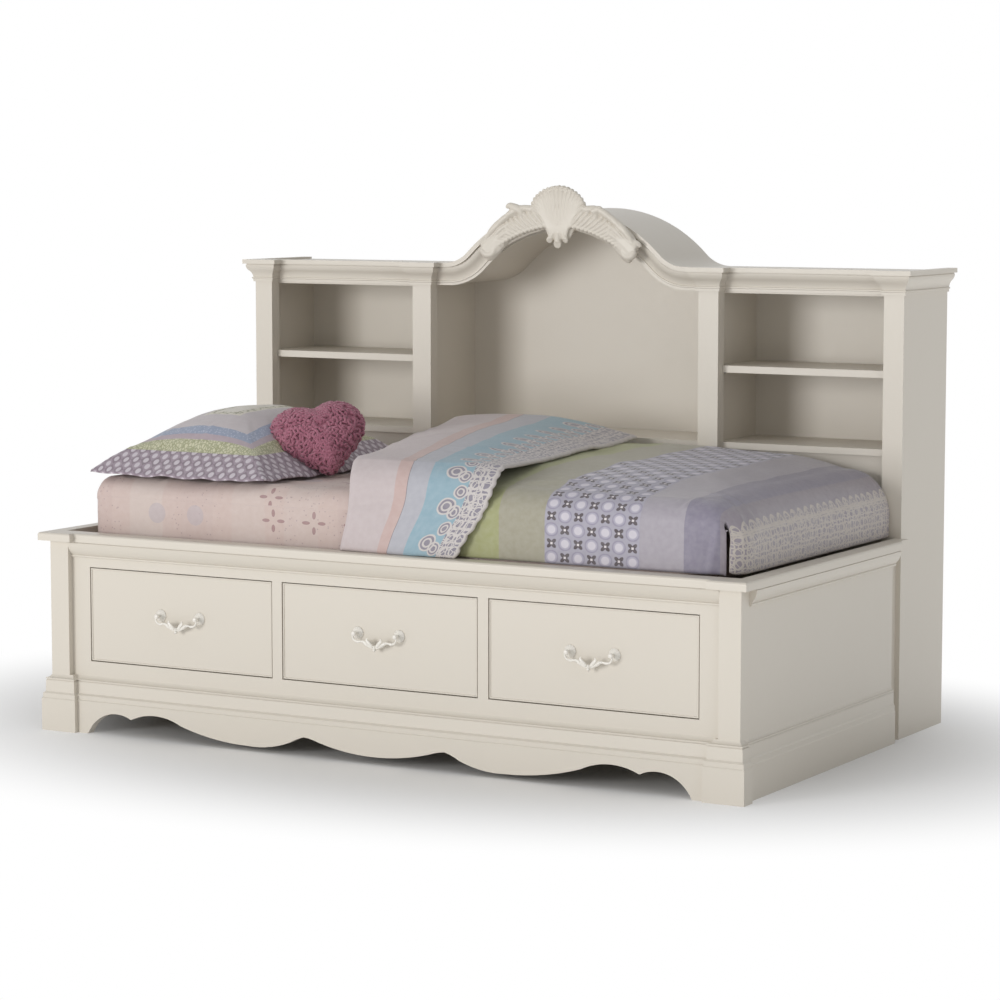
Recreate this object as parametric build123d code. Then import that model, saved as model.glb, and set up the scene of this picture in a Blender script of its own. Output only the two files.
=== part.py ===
from build123d import *
from math import asin, atan2, cos, degrees, radians, sin, sqrt
import os

os.makedirs("parts", exist_ok=True)

# Storage daybed: a drawer base with a moulded cap and scalloped apron, a bookcase back with an
# arched hood, and its bedding. Millimetres, +X along the length, +Y towards the wall, +Z up.
# While it is built, y = 0 is the front face of the corner posts. Each node is then shifted so
# that the origin lies under the middle of the whole bounding box.

# Overall sizes of the base
base_span = 2062.0
base_height = 540.0
panel_end = 936.0
post_width = 59.0
post_depth = 46.0
frame_set_back = 18.0
frame_thickness = 22.0
panel_set_back = 5.0
panel_thickness = 18.0

# Cap moulding round the top of the base
cap_overhang = 24.0
cap_height = 66.0
cap_board = 22.0
cap_side_width = 47.0
cap_bead_height = 7.0
cap_bead_projection = 5.5
cap_ovolo_start = 4.0
cap_ovolo_top = 40.0
cap_ovolo_projection = 20.0
cap_quirk = 3.0
cap_edge_radius = 7.0

# Plinth and base moulding
plinth_height = 87.0
mould_height = 66.0
foot_reach = 21.0
apron_reach = 26.0
side_reach = 12.7
foot_width = 91.0
foot_inner = base_span / 2 - foot_width
foot_wrap = 27.0
scallop_arch_from_foot = 340.0
scallop_crown_from_foot = 247.0
scallop_ear_from_foot = 176.0
scallop_ear_crown_from_foot = 102.0
scallop_end_from_foot = 33.0
mould_step_share = 0.88
mould_face_share = 0.62
mould_ledge = 14.0
mould_quirk_height = 3.0
mould_quirk_top = 53.0

# Front frame and drawer openings
end_stile_width = 59.0
mullion_width = 30.0
opening_bottom = 193.0
opening_height = 256.0
bottom_rail_bottom = 70.0
stile_bottom = 20.0

# Drawers
drawer_gap = 2.5
drawer_front_thickness = 19.0
drawer_front_recess = 3.0
cockbead_width = 4.0
cockbead_projection = 2.0
box_hold = 40.0
box_wall = 12.0
box_side_gap = 12.0
box_rise = 14.0
box_height = 190.0
box_bottom_thickness = 6.0
box_bottom_rise = 14.0
drawer_travel = 400.0
runner_width = 32.0
runner_height = 20.0
running_gap = 0.4
cross_rail_thickness = 18.0
cross_rail_height = 120.0
track_width = 34.0
track_height = 12.0
track_wall = 1.6
track_lip = 7.0
glide_width = 16.0
glide_length = 40.0
track_drop = 10.0

# Drawer pulls
pull_spacing = 124.0
pull_rise = 12.0
rosette_radius = 15.0
rosette_sides = 12
rosette_thickness = 5.0
rosette_dome = 3.0
pull_post_radius = 4.5
pull_reach = 21.0
pull_head_radius = 5.6
pull_head_length = 10.0
eye_outer_radius = 6.5
eye_width = 6.0
eye_clearance = 0.35
eye_gap = 1.0
pull_pin_radius = 2.4
pull_pin_length = 8.0
bail_radius = 3.2
bail_drop = 34.0
bail_knop_radius = 5.5
bail_leaf_length = 13.0

# Bed deck and bedding
ledger_width = 24.0
ledger_height = 24.0
slat_count = 12
slat_width = 78.0
slat_thickness = 17.0
slat_drop = 48.0
slat_end_margin = 70.0
rear_rail_thickness = 25.0
rear_rail_height = 135.0
rear_post_width = 45.0
rear_post_overlap = 36.0
rear_post_set_back = 12.0
mattress_thickness = 198.0
mattress_left_gap = 58.0
mattress_right_gap = 53.0
mattress_corner = 55.0
mattress_crown = 14.0
bed_clearance = 4.0
seat_gap = 0.3
duvet_skirt = 18.0
duvet_thickness = 34.0
duvet_crown = 26.0
duvet_end_thickness = 44.0
duvet_hem_rise = 16.0
duvet_edge_radius = 60.0
fold_left_front = -95.0
fold_left_back = -390.0
fold_right_front = 325.0
fold_right_back = 240.0
fold_thickness = 70.0
fold_drape = 24.0
fold_edge_share = 0.35
fold_gap = 1.5
facet_pieces = 5
pillow_length = 770.0
pillow_width = 590.0
pillow_flange = 72.0
pillow_flange_thickness = 9.0
pillow_thickness = 172.0
pillow_left_gap = 44.0
pillow_front_gap = 12.0
heart_size = 270.0
heart_thickness = 110.0
heart_turn = 38.0
heart_tilt = 38.0
heart_centre_x = -403.0
heart_centre_y = 373.0
heart_centre_rise = 105.0

# Bookcase
bookcase_span = 2054.0
bookcase_front = 988.0
bookcase_depth = 302.0
side_thickness = 18.0
divider_thickness = 23.0
divider_centre = 455.5
outer_stile_width = 57.0
inner_stile_width = 60.0
stile_depth = 38.0
header_recess = 36.0
arch_recess = 30.0
header_thickness = 18.0
cornice_height = 64.5
cornice_projection = 28.0
bookcase_flat_height = 1248.0
header_reveal = 5.0
deck_top = 772.0
deck_thickness = 18.0
deck_front_recess = 26.0
lower_panel_recess = 38.0
lower_panel_thickness = 12.0
shelf_top = 981.0
shelf_thickness = 19.0
shelf_recess = 28.0
shelf_end_gap = 1.0
back_thickness = 8.0
back_inset = 10.0
top_thickness = 22.0
top_drop = 6.0
lower_panel_bottom = 400.0
pin_radius = 2.5
pin_length = 16.0
pin_embed = 9.0
pin_inset = 40.0
bolt_radius = 4.0
bolt_head_radius = 9.0
bolt_head_thickness = 4.0
bolt_clearance = 0.3
bolt_drops = (165.0, 100.0)
bolt_heights = tuple(base_height - drop for drop in bolt_drops)
bolt_hold = 24.0

# Arch, hood and crest
arch_foot = 378.0
arch_rise = 160.0
arch_flare_share = 0.3145
hood_thickness = 14.0
soffit_thickness = 10.0
soffit_lift = 4.0
crest_depth = 34.0
rib_sides = 8
rib_lift = 6.0
stem_lift = 3.0
stem_pieces = 14
plume_lift = 10.0
shell_ribs = 9
shell_rib_angle = 9.5
shell_focus_drop = 42.0
shell_length = 170.0
shell_side_share = 0.84
shell_rib_start = 26.0
shell_rib_foot = 4.2
shell_rib_taper = 0.097
toe_radius = 9.0
toe_neck_radius = 6.3
toe_spread = 26.0
toe_drop = 26.0
leaf_radius = 19.0
leaf_rise = 34.0
leaf_plumes = 6
plume_length = 37.0
plume_curl = 8.0
plume_first_share = 0.22
plume_span_share = 0.52
plume_root_radius = 12.0
plume_tip_radius = 4.0
scroll_radius = 26.0
scroll_depth = 31.0
scroll_from_centre = 236.0
leaf_tip_from_centre = 150.0
leaf_tip_rise = 32.0

# Places worked out from the sizes above
post_outer = base_span / 2
post_inner = post_outer - post_width
panel_outer = post_outer - panel_set_back
panel_inner = panel_outer - panel_thickness
cap_outer = post_outer + cap_overhang
cap_inner = cap_outer - cap_side_width
cap_bottom = base_height - cap_height
board_bottom = base_height - cap_board
frame_back = frame_set_back + frame_thickness
opening_top = opening_bottom + opening_height
mould_top = plinth_height + mould_height
stile_inner = post_inner - end_stile_width
drawer_width = (2 * stile_inner - 2 * mullion_width) / 3
drawer_pitch = drawer_width + mullion_width
rear_face = bookcase_front + bookcase_depth
front_face = -cap_overhang
centre_y = (front_face + rear_face) / 2
side_outer = bookcase_span / 2
side_inner = side_outer - side_thickness
cornice_bottom = bookcase_flat_height - cornice_height
header_face = bookcase_front + header_recess
arch_face = bookcase_front + arch_recess
stile_back = bookcase_front + stile_depth
back_front = rear_face - back_inset - back_thickness
outer_stile_inner = side_outer - outer_stile_width
inner_stile_outer = divider_centre + inner_stile_width / 2
inner_stile_inner = divider_centre - inner_stile_width / 2
divider_outer = divider_centre + divider_thickness / 2
divider_inner = divider_centre - divider_thickness / 2
top_face = bookcase_flat_height - top_drop
slat_top = base_height - slat_drop
slat_bottom = slat_top - slat_thickness
ledger_top = slat_bottom
rear_rail_front = bookcase_front - rear_rail_thickness
mattress_bottom = slat_top + seat_gap
mattress_top = mattress_bottom + mattress_thickness
mattress_left = -cap_inner + mattress_left_gap
mattress_right = cap_inner - mattress_right_gap
mattress_front = post_depth + bed_clearance + duvet_skirt
mattress_back = bookcase_front - bed_clearance


def save(name, *shapes):
    """Write one node in the finished frame, with its origin under the middle of the whole."""
    solids = [Pos(0, -centre_y, 0) * solid for shape in shapes for solid in shape.solids()]
    export_step(solids[0] if len(solids) == 1 else Compound(solids), "parts/" + name + ".step")


def box(x0, x1, y0, y1, z0, z1):
    """A block between two opposite corners."""
    centre = ((x0 + x1) / 2, (y0 + y1) / 2, (z0 + z1) / 2)
    return Pos(*centre) * Box(abs(x1 - x0), abs(y1 - y0), abs(z1 - z0))


def mirrored(shape):
    """The same piece on the other end of the bed."""
    return mirror(shape, about=Plane.YZ)


def front_run(face, y_face, z0, x0, x1):
    """Run a moulding outline along the length, facing the front."""
    plane = Plane(origin=(x0, y_face, z0), x_dir=(0, -1, 0), z_dir=(-1, 0, 0))
    return extrude(plane * face, amount=x1 - x0, dir=(1, 0, 0))


def side_run(face, x_face, z0, y0, y1, outward=1):
    """Run a moulding outline from front to back, facing one end."""
    plane = Plane(origin=(x_face, y0, z0), x_dir=(outward, 0, 0), z_dir=(0, -outward, 0))
    return extrude(plane * face, amount=y1 - y0, dir=(0, 1, 0))


def line(start, end):
    """A straight edge, or nothing where its two ends meet."""
    return None if start == end else Line(start, end)


def outline(*edges):
    """A face in the moulding's own plane: x is the projection, y the height."""
    return make_face(Curve() + [edge for edge in edges if edge is not None])


def spaced(edges, pieces):
    """Evenly spaced points along edges that follow one another, without the last end."""
    return [edge @ (n / pieces) for edge in edges for n in range(pieces)]


def bent(edges, pieces):
    """Open line of straight lengths through evenly spaced points of arcs in a row."""
    return Polyline(*spaced(edges, pieces), edges[-1] @ 1)


def stacked(loops):
    """Closed solid of flat facets through loops with the same number of points."""
    faces = [Face(Wire.make_polygon(loops[0])), Face(Wire.make_polygon(loops[-1]))]
    for low, high in zip(loops, loops[1:]):
        for n in range(len(low)):
            m = (n + 1) % len(low)
            faces.append(Face(Wire.make_polygon([low[n], low[m], high[m]])))
            faces.append(Face(Wire.make_polygon([low[n], high[m], high[n]])))
    return Solid(Shell(faces))


def ring(height, radius, sides):
    """Points of a regular polygon round the local z axis."""
    turns = [radians(360 * (n + 0.5) / sides) for n in range(sides)]
    return [Vector(radius * cos(turn), radius * sin(turn), height) for turn in turns]


def taper(place, sides, *rings):
    """Faceted solid along the local z axis: each ring is a height and a radius."""
    return place * stacked([ring(height, radius, sides) for height, radius in rings])


def cap_outline(back, behind=0.0):
    """Cap section: bead, ovolo, quirk and rounded board that runs back over the frame.

    back is how far the board reaches behind the face, behind how far the moulding does.
    """
    p1 = cap_ovolo_start
    h1 = cap_bead_height
    p2 = cap_ovolo_projection
    h2 = cap_ovolo_top
    h3 = h2 + cap_quirk
    r = cap_edge_radius
    top = cap_height
    under = cap_height - cap_board
    bulge = 0.62
    return outline(
        line((-behind, 0), (p1 - 1, 0)),
        ThreePointArc((p1 - 1, 0), (cap_bead_projection, h1 / 2), (p1 - 1, h1)),
        line((p1 - 1, h1), (p1, h1)),
        ThreePointArc((p1, h1), (p1 + (p2 - p1) * bulge, h1 + (h2 - h1) * (1 - bulge)), (p2, h2)),
        line((p2, h2), (p2 - cap_quirk, h2)),
        line((p2 - cap_quirk, h2), (p2 - cap_quirk, h3)),
        line((p2 - cap_quirk, h3), (cap_overhang, h3)),
        line((cap_overhang, h3), (cap_overhang, top - r)),
        ThreePointArc((cap_overhang, top - r),
                      (cap_overhang - r * (1 - sqrt(0.5)), top - r * (1 - sqrt(0.5))),
                      (cap_overhang - r, top)),
        line((cap_overhang - r, top), (-back, top)),
        line((-back, top), (-back, under)),
        line((-back, under), (-behind, under)),
        line((-behind, under), (-behind, 0)),
    )


def base_outline(reach, back, from_floor=True):
    """Base section: plinth, chamfered step, ledge, sloping face, quirk, bead and cove."""
    h0 = plinth_height
    p1 = reach * mould_step_share
    h1 = h0 + mould_ledge
    p2 = reach * mould_face_share
    h2 = h1 + mould_ledge / 3
    h3 = h0 + mould_quirk_top - mould_quirk_height
    p3 = p2 * 0.93
    h4 = h0 + mould_quirk_top
    p4 = p3 * 0.82
    p5 = p3 * 1.05
    h5 = h4 + mould_quirk_height
    start = 0 if from_floor else h0
    edges = [line((-back, start), (reach, start))]
    if from_floor:
        edges.append(Line((reach, start), (reach, h0)))
    edges += [
        line((reach, h0), (p1, h0 + mould_quirk_height)),
        line((p1, h0 + mould_quirk_height), (p1, h1)),
        line((p1, h1), (p2, h2)),
        line((p2, h2), (p3, h3)),
        line((p3, h3), (p4, h3)),
        line((p4, h3), (p4, h4)),
        line((p4, h4), (p5, h4)),
        line((p5, h4), (p5, h5)),
        ThreePointArc((p5, h5), (p5 * 0.30, h5 + (mould_top - h5) * 0.35), (0, mould_top)),
        line((0, mould_top), (-back, mould_top)),
        line((-back, mould_top), (-back, start)),
    ]
    return outline(*edges)


def cornice_outline(back):
    """Cornice section from the lower fillet up: fillet, bead, cyma, groove and straight fascia."""
    p = cornice_projection
    h = cornice_height
    return outline(
        line((-back, 0), (5, 0)),
        line((5, 0), (5, 7)),
        line((5, 7), (8, 8.5)),
        line((8, 8.5), (8, 11.5)),
        line((8, 11.5), (5, 13)),
        ThreePointArc((5, 13), (8, 24), (14, 32)),
        ThreePointArc((14, 32), (19.5, 40), (21, 49)),
        line((21, 49), (19, 49)),
        line((19, 49), (19, 52)),
        line((19, 52), (p, 52)),
        line((p, 52), (p, h)),
        line((p, h), (-back, h)),
        line((-back, h), (-back, 0)),
    )


# Corner posts and rear posts
def corner_post(side):
    """Square front post, from the floor to the underside of the cap board."""
    return box(side * post_inner, side * post_outer, 0, post_depth, 0, board_bottom)


def rear_post(side):
    """Post at the wall end: inside the panel, then set back from its face, up to the bookcase."""
    inner = side * (panel_inner - rear_post_width)
    body = box(inner, side * panel_inner, panel_end - rear_post_overlap, bookcase_front,
               0, board_bottom)
    tongue = box(side * panel_inner, side * (panel_outer - rear_post_set_back), panel_end,
                 bookcase_front, 0, board_bottom)
    return body + tongue


def side_panel(side):
    """Plain end panel between the corner post and the rear post."""
    return box(side * panel_inner, side * panel_outer, post_depth, panel_end, stile_bottom,
               board_bottom)


# Plinths and the base moulding
def post_and_frame_space():
    """What stands behind the foot blocks and plinths: the posts, the frame and the end panels."""
    solids = box(-panel_outer, panel_outer, frame_set_back, panel_end + 10, 0, base_height)
    for side in (-1, 1):
        solids += box(side * post_inner, side * post_outer, 0, post_depth, 0, base_height)
    return solids


def foot_block(side):
    """Moulded block that wraps the front and outer face of one corner post."""
    face = base_outline(foot_reach, base_span / 8)
    inner_ref = foot_inner + foot_reach
    front = front_run(face, 0, 0, foot_inner - foot_reach, post_outer + 2 * foot_reach)
    outer = side_run(face, post_outer, 0, -2 * foot_reach, foot_wrap)
    inner = side_run(face, inner_ref, 0, -2 * foot_reach, foot_wrap, outward=-1)
    block = (front & outer & inner) - post_and_frame_space()
    return block if side > 0 else mirrored(block)


def side_plinth(side):
    """Plinth and base moulding in one length along the end panel."""
    face = base_outline(side_reach, 0)
    length = side_run(face, panel_outer, 0, foot_wrap, panel_end) - post_and_frame_space()
    return length if side > 0 else mirrored(length)


def base_moulding_front(feet):
    """Base moulding between the foot blocks, above the apron."""
    face = base_outline(apron_reach, 0, from_floor=False)
    end = foot_inner + foot_reach
    length = front_run(face, frame_set_back, 0, -end, end)
    for foot in feet:
        length -= foot
    return length


def apron_half():
    """Scalloped lower edge from the centre to the foot, as tangent arcs between its cusps."""
    centre = (0, 19.8)
    lobe_turn = (165, 41.8)
    cusp = (212, 52.3)
    lobe_low = (386, 13.5)
    arch_start = (foot_inner - scallop_arch_from_foot, 46)
    ear_cusp = (foot_inner - scallop_ear_from_foot, 49)
    foot_edge = (foot_inner - scallop_end_from_foot, 0)
    arch_crown = (foot_inner - scallop_crown_from_foot, 66)
    ear_crown = (foot_inner - scallop_ear_crown_from_foot, 57)
    first = TangentArc(centre, lobe_turn, tangent=(1, 0))
    second = ThreePointArc(lobe_turn, (190, 49), cusp)
    third = ThreePointArc(cusp, (236, 44), (255, 34.5))
    fourth = ThreePointArc((255, 34.5), (312, 18), lobe_low)
    fifth = TangentArc(lobe_low, arch_start, tangent=(1, 0))
    sixth = ThreePointArc(arch_start, arch_crown, ear_cusp)
    seventh = ThreePointArc(ear_cusp, ear_crown, foot_edge)
    last = Line(foot_edge, (foot_inner, 0))
    return [first, second, third, fourth, fifth, sixth, seventh, last]


def apron():
    """Board with the scalloped lower edge, between the foot blocks."""
    half = Curve() + apron_half()
    rest = Curve() + [Line((foot_inner, 0), (foot_inner, plinth_height)),
                      Line((foot_inner, plinth_height), (0, plinth_height)),
                      Line((0, plinth_height), (0, 19.8))]
    face = make_face(half + rest)
    plane = Plane(origin=(0, frame_set_back - apron_reach, 0), x_dir=(1, 0, 0), z_dir=(0, -1, 0))
    right = extrude(plane * face, amount=apron_reach, dir=(0, 1, 0))
    return right + mirrored(right)


# Cap
def cap_ring():
    """The whole moulded cap: front run, breaks round the corner posts and both end runs."""
    inner = post_depth
    run = front_run(cap_outline(inner - frame_set_back), frame_set_back, cap_bottom,
                    -post_inner, post_inner)
    ring = run
    for side in (-1, 1):
        front = front_run(cap_outline(inner), 0, cap_bottom, -2 * post_outer, 2 * post_outer)
        deep = cap_outline(cap_side_width * 4)
        outer = side_run(deep, side * post_outer, cap_bottom, -2 * cap_overhang, inner, side)
        inward = side_run(deep, side * post_inner, cap_bottom, -2 * cap_overhang, inner, -side)
        ring += front & outer & inward
        board = cap_outline(cap_side_width - cap_overhang, panel_set_back)
        ring += side_run(board, side * post_outer, cap_bottom, inner, panel_end, side)
        ring += box(side * cap_inner, side * (cap_outer - cap_edge_radius), panel_end,
                    bookcase_front, board_bottom, base_height)
    below = box(-post_inner, post_inner, frame_set_back, inner, cap_bottom, board_bottom)
    for side in (-1, 1):
        below += box(side * post_inner, side * post_outer, 0, inner, cap_bottom, board_bottom)
    return ring - below


def end_of_cap(ring, side):
    """The end length of the cap, cut from the ring on the mitre at the corner."""
    inside = (cap_inner, front_face + cap_side_width)
    lead = (cap_outer + cap_side_width, front_face - cap_side_width)
    points = [lead, inside, (cap_inner, rear_face), (lead[0], rear_face)]
    prism = extrude(make_face(Polyline(*points, close=True)), amount=2 * base_height)
    if side < 0:
        prism = mirrored(prism)
    return ring & prism


# Front frame
def front_stiles():
    """Two full-height end stiles and two mullions between the drawers."""
    y0 = frame_set_back
    y1 = frame_back
    stiles = [box(side * stile_inner, side * post_inner, y0, y1, stile_bottom, board_bottom)
              for side in (-1, 1)]
    for side in (-1, 1):
        middle = side * drawer_pitch / 2
        stiles.append(box(middle - mullion_width / 2, middle + mullion_width / 2, y0, y1,
                          opening_bottom, opening_top))
    return stiles


# Drawer support inside the base
box_width = drawer_width - 2 * box_side_gap
box_depth = drawer_travel + box_hold
box_floor = opening_bottom + box_rise
track_bottom = opening_bottom - track_drop
box_front_y = frame_set_back + drawer_front_recess + drawer_front_thickness
box_back_y = box_front_y + box_depth
cross_rail_front = box_back_y + 20.0
runner_top = box_floor - running_gap


def drawer_runners():
    """Two wooden runners under each drawer's sides, from the bottom rail to the cross rail."""
    runners = []
    for n in (-1, 0, 1):
        for side in (-1, 1):
            middle = n * drawer_pitch + side * (box_width / 2 - runner_width / 2)
            runners.append(box(middle - runner_width / 2, middle + runner_width / 2, frame_back,
                               cross_rail_front, runner_top - runner_height, runner_top))
    return runners


def centre_track(x_middle):
    """Rolled steel channel under the middle of a drawer, open at the top between its lips."""
    z0 = track_bottom
    half = track_width / 2
    outer = box(x_middle - half, x_middle + half, frame_back, cross_rail_front, z0,
                z0 + track_height)
    inner = box(x_middle - half + track_wall, x_middle + half - track_wall, frame_back,
                cross_rail_front, z0 + track_wall, z0 + track_height - track_wall)
    slot = box(x_middle - half + track_lip, x_middle + half - track_lip, frame_back,
               cross_rail_front, z0 + track_wall, z0 + track_height)
    return outer - inner - slot


def cross_rail():
    """Rail across the base that carries the rear ends of runners and tracks."""
    bottom = track_bottom - cross_rail_height / 2
    return box(-panel_inner, panel_inner, cross_rail_front,
               cross_rail_front + cross_rail_thickness, bottom, bottom + cross_rail_height)


# Drawers
def drawer_front(x_middle):
    """Inset front with a raised cock bead round its edge."""
    half = drawer_width / 2 - drawer_gap
    z0 = opening_bottom + drawer_gap
    z1 = opening_top - drawer_gap
    y0 = frame_set_back + drawer_front_recess
    slab = box(x_middle - half, x_middle + half, y0, y0 + drawer_front_thickness, z0, z1)
    rim = box(x_middle - half, x_middle + half, y0 - cockbead_projection, y0, z0, z1)
    field = box(x_middle - half + cockbead_width, x_middle + half - cockbead_width,
                y0 - cockbead_projection, y0, z0 + cockbead_width, z1 - cockbead_width)
    rim = chamfer((rim - field).edges().filter_by(GeomType.LINE).group_by(Axis.Y)[0],
                  cockbead_width * 0.22)
    return slab + rim


def drawer_box(x_middle):
    """Sides, sub-front, back, grooved bottom and centre glide of one drawer."""
    half = box_width / 2
    z0 = box_floor
    z1 = z0 + box_height
    y0 = box_front_y
    y1 = box_back_y
    sides = [box(x_middle + side * (half - box_wall), x_middle + side * half, y0, y1, z0, z1)
             for side in (-1, 1)]
    ends = [box(x_middle - half + box_wall, x_middle + half - box_wall, y, y + box_wall, z0, z1)
            for y in (y0, y1 - box_wall)]
    floor_z = z0 + box_bottom_rise
    floor = box(x_middle - half + box_wall, x_middle + half - box_wall, y0 + box_wall,
                y1 - box_wall, floor_z, floor_z + box_bottom_thickness)
    block = box(x_middle - glide_width / 2, x_middle + glide_width / 2, y1 - glide_length,
                y1 - box_wall, track_bottom + track_wall + running_gap, floor_z)
    return sides + ends + [floor, block]


def pull_mount(x_post, z_post):
    """Petalled rosette with a domed middle, and the post that stands out of it."""
    place = Pos(x_post, frame_set_back + drawer_front_recess, z_post) * Rot(90, 0, 0)
    reach = pull_reach
    disc = taper(place, rosette_sides, (0, rosette_radius), (rosette_thickness, rosette_radius),
                 (rosette_thickness + rosette_dome, pull_post_radius))
    post = taper(place, rosette_sides, (rosette_dome, pull_post_radius),
                 (reach - pull_head_length / 2, pull_post_radius))
    head = taper(place, rosette_sides, (reach - pull_head_length / 2, pull_head_radius),
                 (reach + pull_head_length / 4, pull_head_radius),
                 (reach + pull_head_length / 2, pull_head_radius * 0.5))
    return disc + post + head


def pull_pin(x_post, z_post, side):
    """Pin that stands out of the post towards the middle of the pull, through the bail's eye."""
    y0 = frame_set_back + drawer_front_recess - pull_reach
    length = pull_pin_length + pull_post_radius
    return Pos(x_post - side * length / 2, y0, z_post) * Rot(0, 90, 0) * Cylinder(
        pull_pin_radius, length)


def pull_mounts(x_middle):
    """Both ends of one pull, each in one piece."""
    z_post = (opening_bottom + opening_top) / 2 + pull_rise
    mounts = []
    for side in (-1, 1):
        x_post = x_middle + side * pull_spacing / 2
        mounts.append(pull_mount(x_post, z_post) + pull_pin(x_post, z_post, side))
    return mounts


def pull_bail(x_middle):
    """Swan-neck bail: an eye at each end, a double curve down and a leaf knop in the middle."""
    z_post = (opening_bottom + opening_top) / 2 + pull_rise
    y0 = frame_set_back + drawer_front_recess - pull_reach
    eye_x = pull_spacing / 2 - pull_head_radius - eye_gap - eye_width / 2
    drop = bail_drop
    shoulder = (eye_x - 8.0, -drop * 0.46)
    low = (eye_x - 30.0, -drop)
    arcs = [
        ThreePointArc((eye_x, -eye_outer_radius * 0.6), (eye_x - 1.0, -drop * 0.26), shoulder),
        ThreePointArc(shoulder, (eye_x - 16.0, -drop * 0.84), low),
        ThreePointArc(low, (0, -drop * 0.93), (-low[0], low[1])),
        ThreePointArc((-low[0], low[1]), (-eye_x + 16.0, -drop * 0.84), (-shoulder[0], shoulder[1])),
        ThreePointArc((-shoulder[0], shoulder[1]), (-eye_x + 1.0, -drop * 0.26),
                      (-eye_x, -eye_outer_radius * 0.6)),
    ]
    plane = Plane(origin=(x_middle, y0, z_post), x_dir=(1, 0, 0), z_dir=(0, -1, 0))
    route = plane * bent(arcs, 4)
    section = Plane(origin=route @ 0, z_dir=route % 0) * RegularPolygon(bail_radius, rib_sides)
    rod = sweep(section, path=route, transition=Transition.RIGHT)
    for side in (-1, 1):
        place = Pos(x_middle + side * eye_x, y0, z_post) * Rot(0, 90, 0)
        rod += place * Cylinder(eye_outer_radius, eye_width)
    for side in (-1, 1):
        place = Pos(x_middle + side * eye_x, y0, z_post) * Rot(0, 90, 0)
        rod -= place * Cylinder(pull_pin_radius + eye_clearance, 2 * eye_width)
    knop = Pos(x_middle - bail_leaf_length, y0, z_post - drop * 0.93) * Rot(0, 90, 0)
    return rod + taper(knop, rib_sides, (0, bail_radius * 1.05),
                       (bail_leaf_length * 0.75, bail_knop_radius),
                       (bail_leaf_length * 1.25, bail_knop_radius),
                       (bail_leaf_length * 2, bail_radius * 1.05))


# Bed deck
def slat_ledgers():
    """Ledgers on the inside of the front top rail and of the rear rail."""
    span = panel_inner - rear_post_width
    front = box(-panel_inner, panel_inner, frame_back, frame_back + ledger_width,
                ledger_top - ledger_height, ledger_top)
    for side in (-1, 1):
        front -= box(side * post_inner, side * post_outer, 0, post_depth, 0, base_height)
    rear = box(-span, span, rear_rail_front - ledger_width, rear_rail_front,
               ledger_top - ledger_height, ledger_top)
    return [front, rear]


def bed_slats():
    """Cross slats, evenly spaced along the bed."""
    first = -cap_inner + slat_end_margin
    pitch = (2 * cap_inner - 2 * slat_end_margin - slat_width) / (slat_count - 1)
    slats = []
    for n in range(slat_count):
        x0 = first + n * pitch
        slats.append(box(x0, x0 + slat_width, frame_back + 2, rear_rail_front - 2, slat_bottom,
                         slat_top))
    return slats


# Bedding
def crowned_section(x, y0, y1, z0, z1, crown, side_bulge):
    """Closed section across the bed: flat base, bowed sides and a crowned top."""
    middle = (y0 + y1) / 2
    half_z = (z0 + z1) / 2
    edges = [
        Line((y0, z0), (y1, z0)),
        ThreePointArc((y1, z0), (y1 + side_bulge, half_z), (y1, z1)),
        ThreePointArc((y1, z1), (middle, z1 + crown), (y0, z1)),
        ThreePointArc((y0, z1), (y0 - side_bulge, half_z), (y0, z0)),
    ]
    plane = Plane(origin=(x, 0, 0), x_dir=(0, 1, 0), z_dir=(1, 0, 0))
    return plane * make_face(Curve() + edges)


def mattress():
    """Mattress with its fitted sheet: crowned top, bowed sides and rounded ends."""
    bow = 5.0
    y0 = mattress_front + bow
    y1 = mattress_back - bow
    z1 = mattress_top - mattress_crown
    end = mattress_corner
    sections = []
    for x, inset, drop in ((mattress_left, 26.0, 24.0), (mattress_left + end * 0.4, 6.0, 7.0),
                           (mattress_left + end * 1.6, 0.0, 0.0),
                           (mattress_right - end * 1.6, 0.0, 0.0),
                           (mattress_right - end * 0.4, 6.0, 7.0),
                           (mattress_right, 26.0, 24.0)):
        sections.append(crowned_section(x, y0 + inset, y1 - inset, mattress_bottom + drop * 0.2,
                                        z1 - drop, mattress_crown, bow))
    return loft(sections, ruled=True)


def duvet_profile(y0, y1, z_top, radius, hem):
    """Filled section of the duvet: crowned top, rounded front edge and straight drop."""
    middle = (y0 + y1) / 2
    shoulder = z_top - duvet_crown
    bend = radius * (1 - sqrt(0.5))
    return [
        ThreePointArc((y1, shoulder), (middle, z_top), (y0 + radius, shoulder)),
        ThreePointArc((y0 + radius, shoulder), (y0 + bend, shoulder - bend),
                      (y0, shoulder - radius)),
        Line((y0, shoulder - radius), (y0, hem)),
        Line((y0, hem), (y1, hem)),
        Line((y1, hem), (y1, shoulder)),
    ]


def slanted_plan(x_front_left, x_back_left, x_front_right, x_back_right, y0, y1):
    """Upright prism over a plan whose two ends lean."""
    points = [(x_front_left, y0), (x_front_right, y0), (x_back_right, y1), (x_back_left, y1)]
    return extrude(make_face(Polyline(*points, close=True)), amount=2 * base_height)


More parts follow.
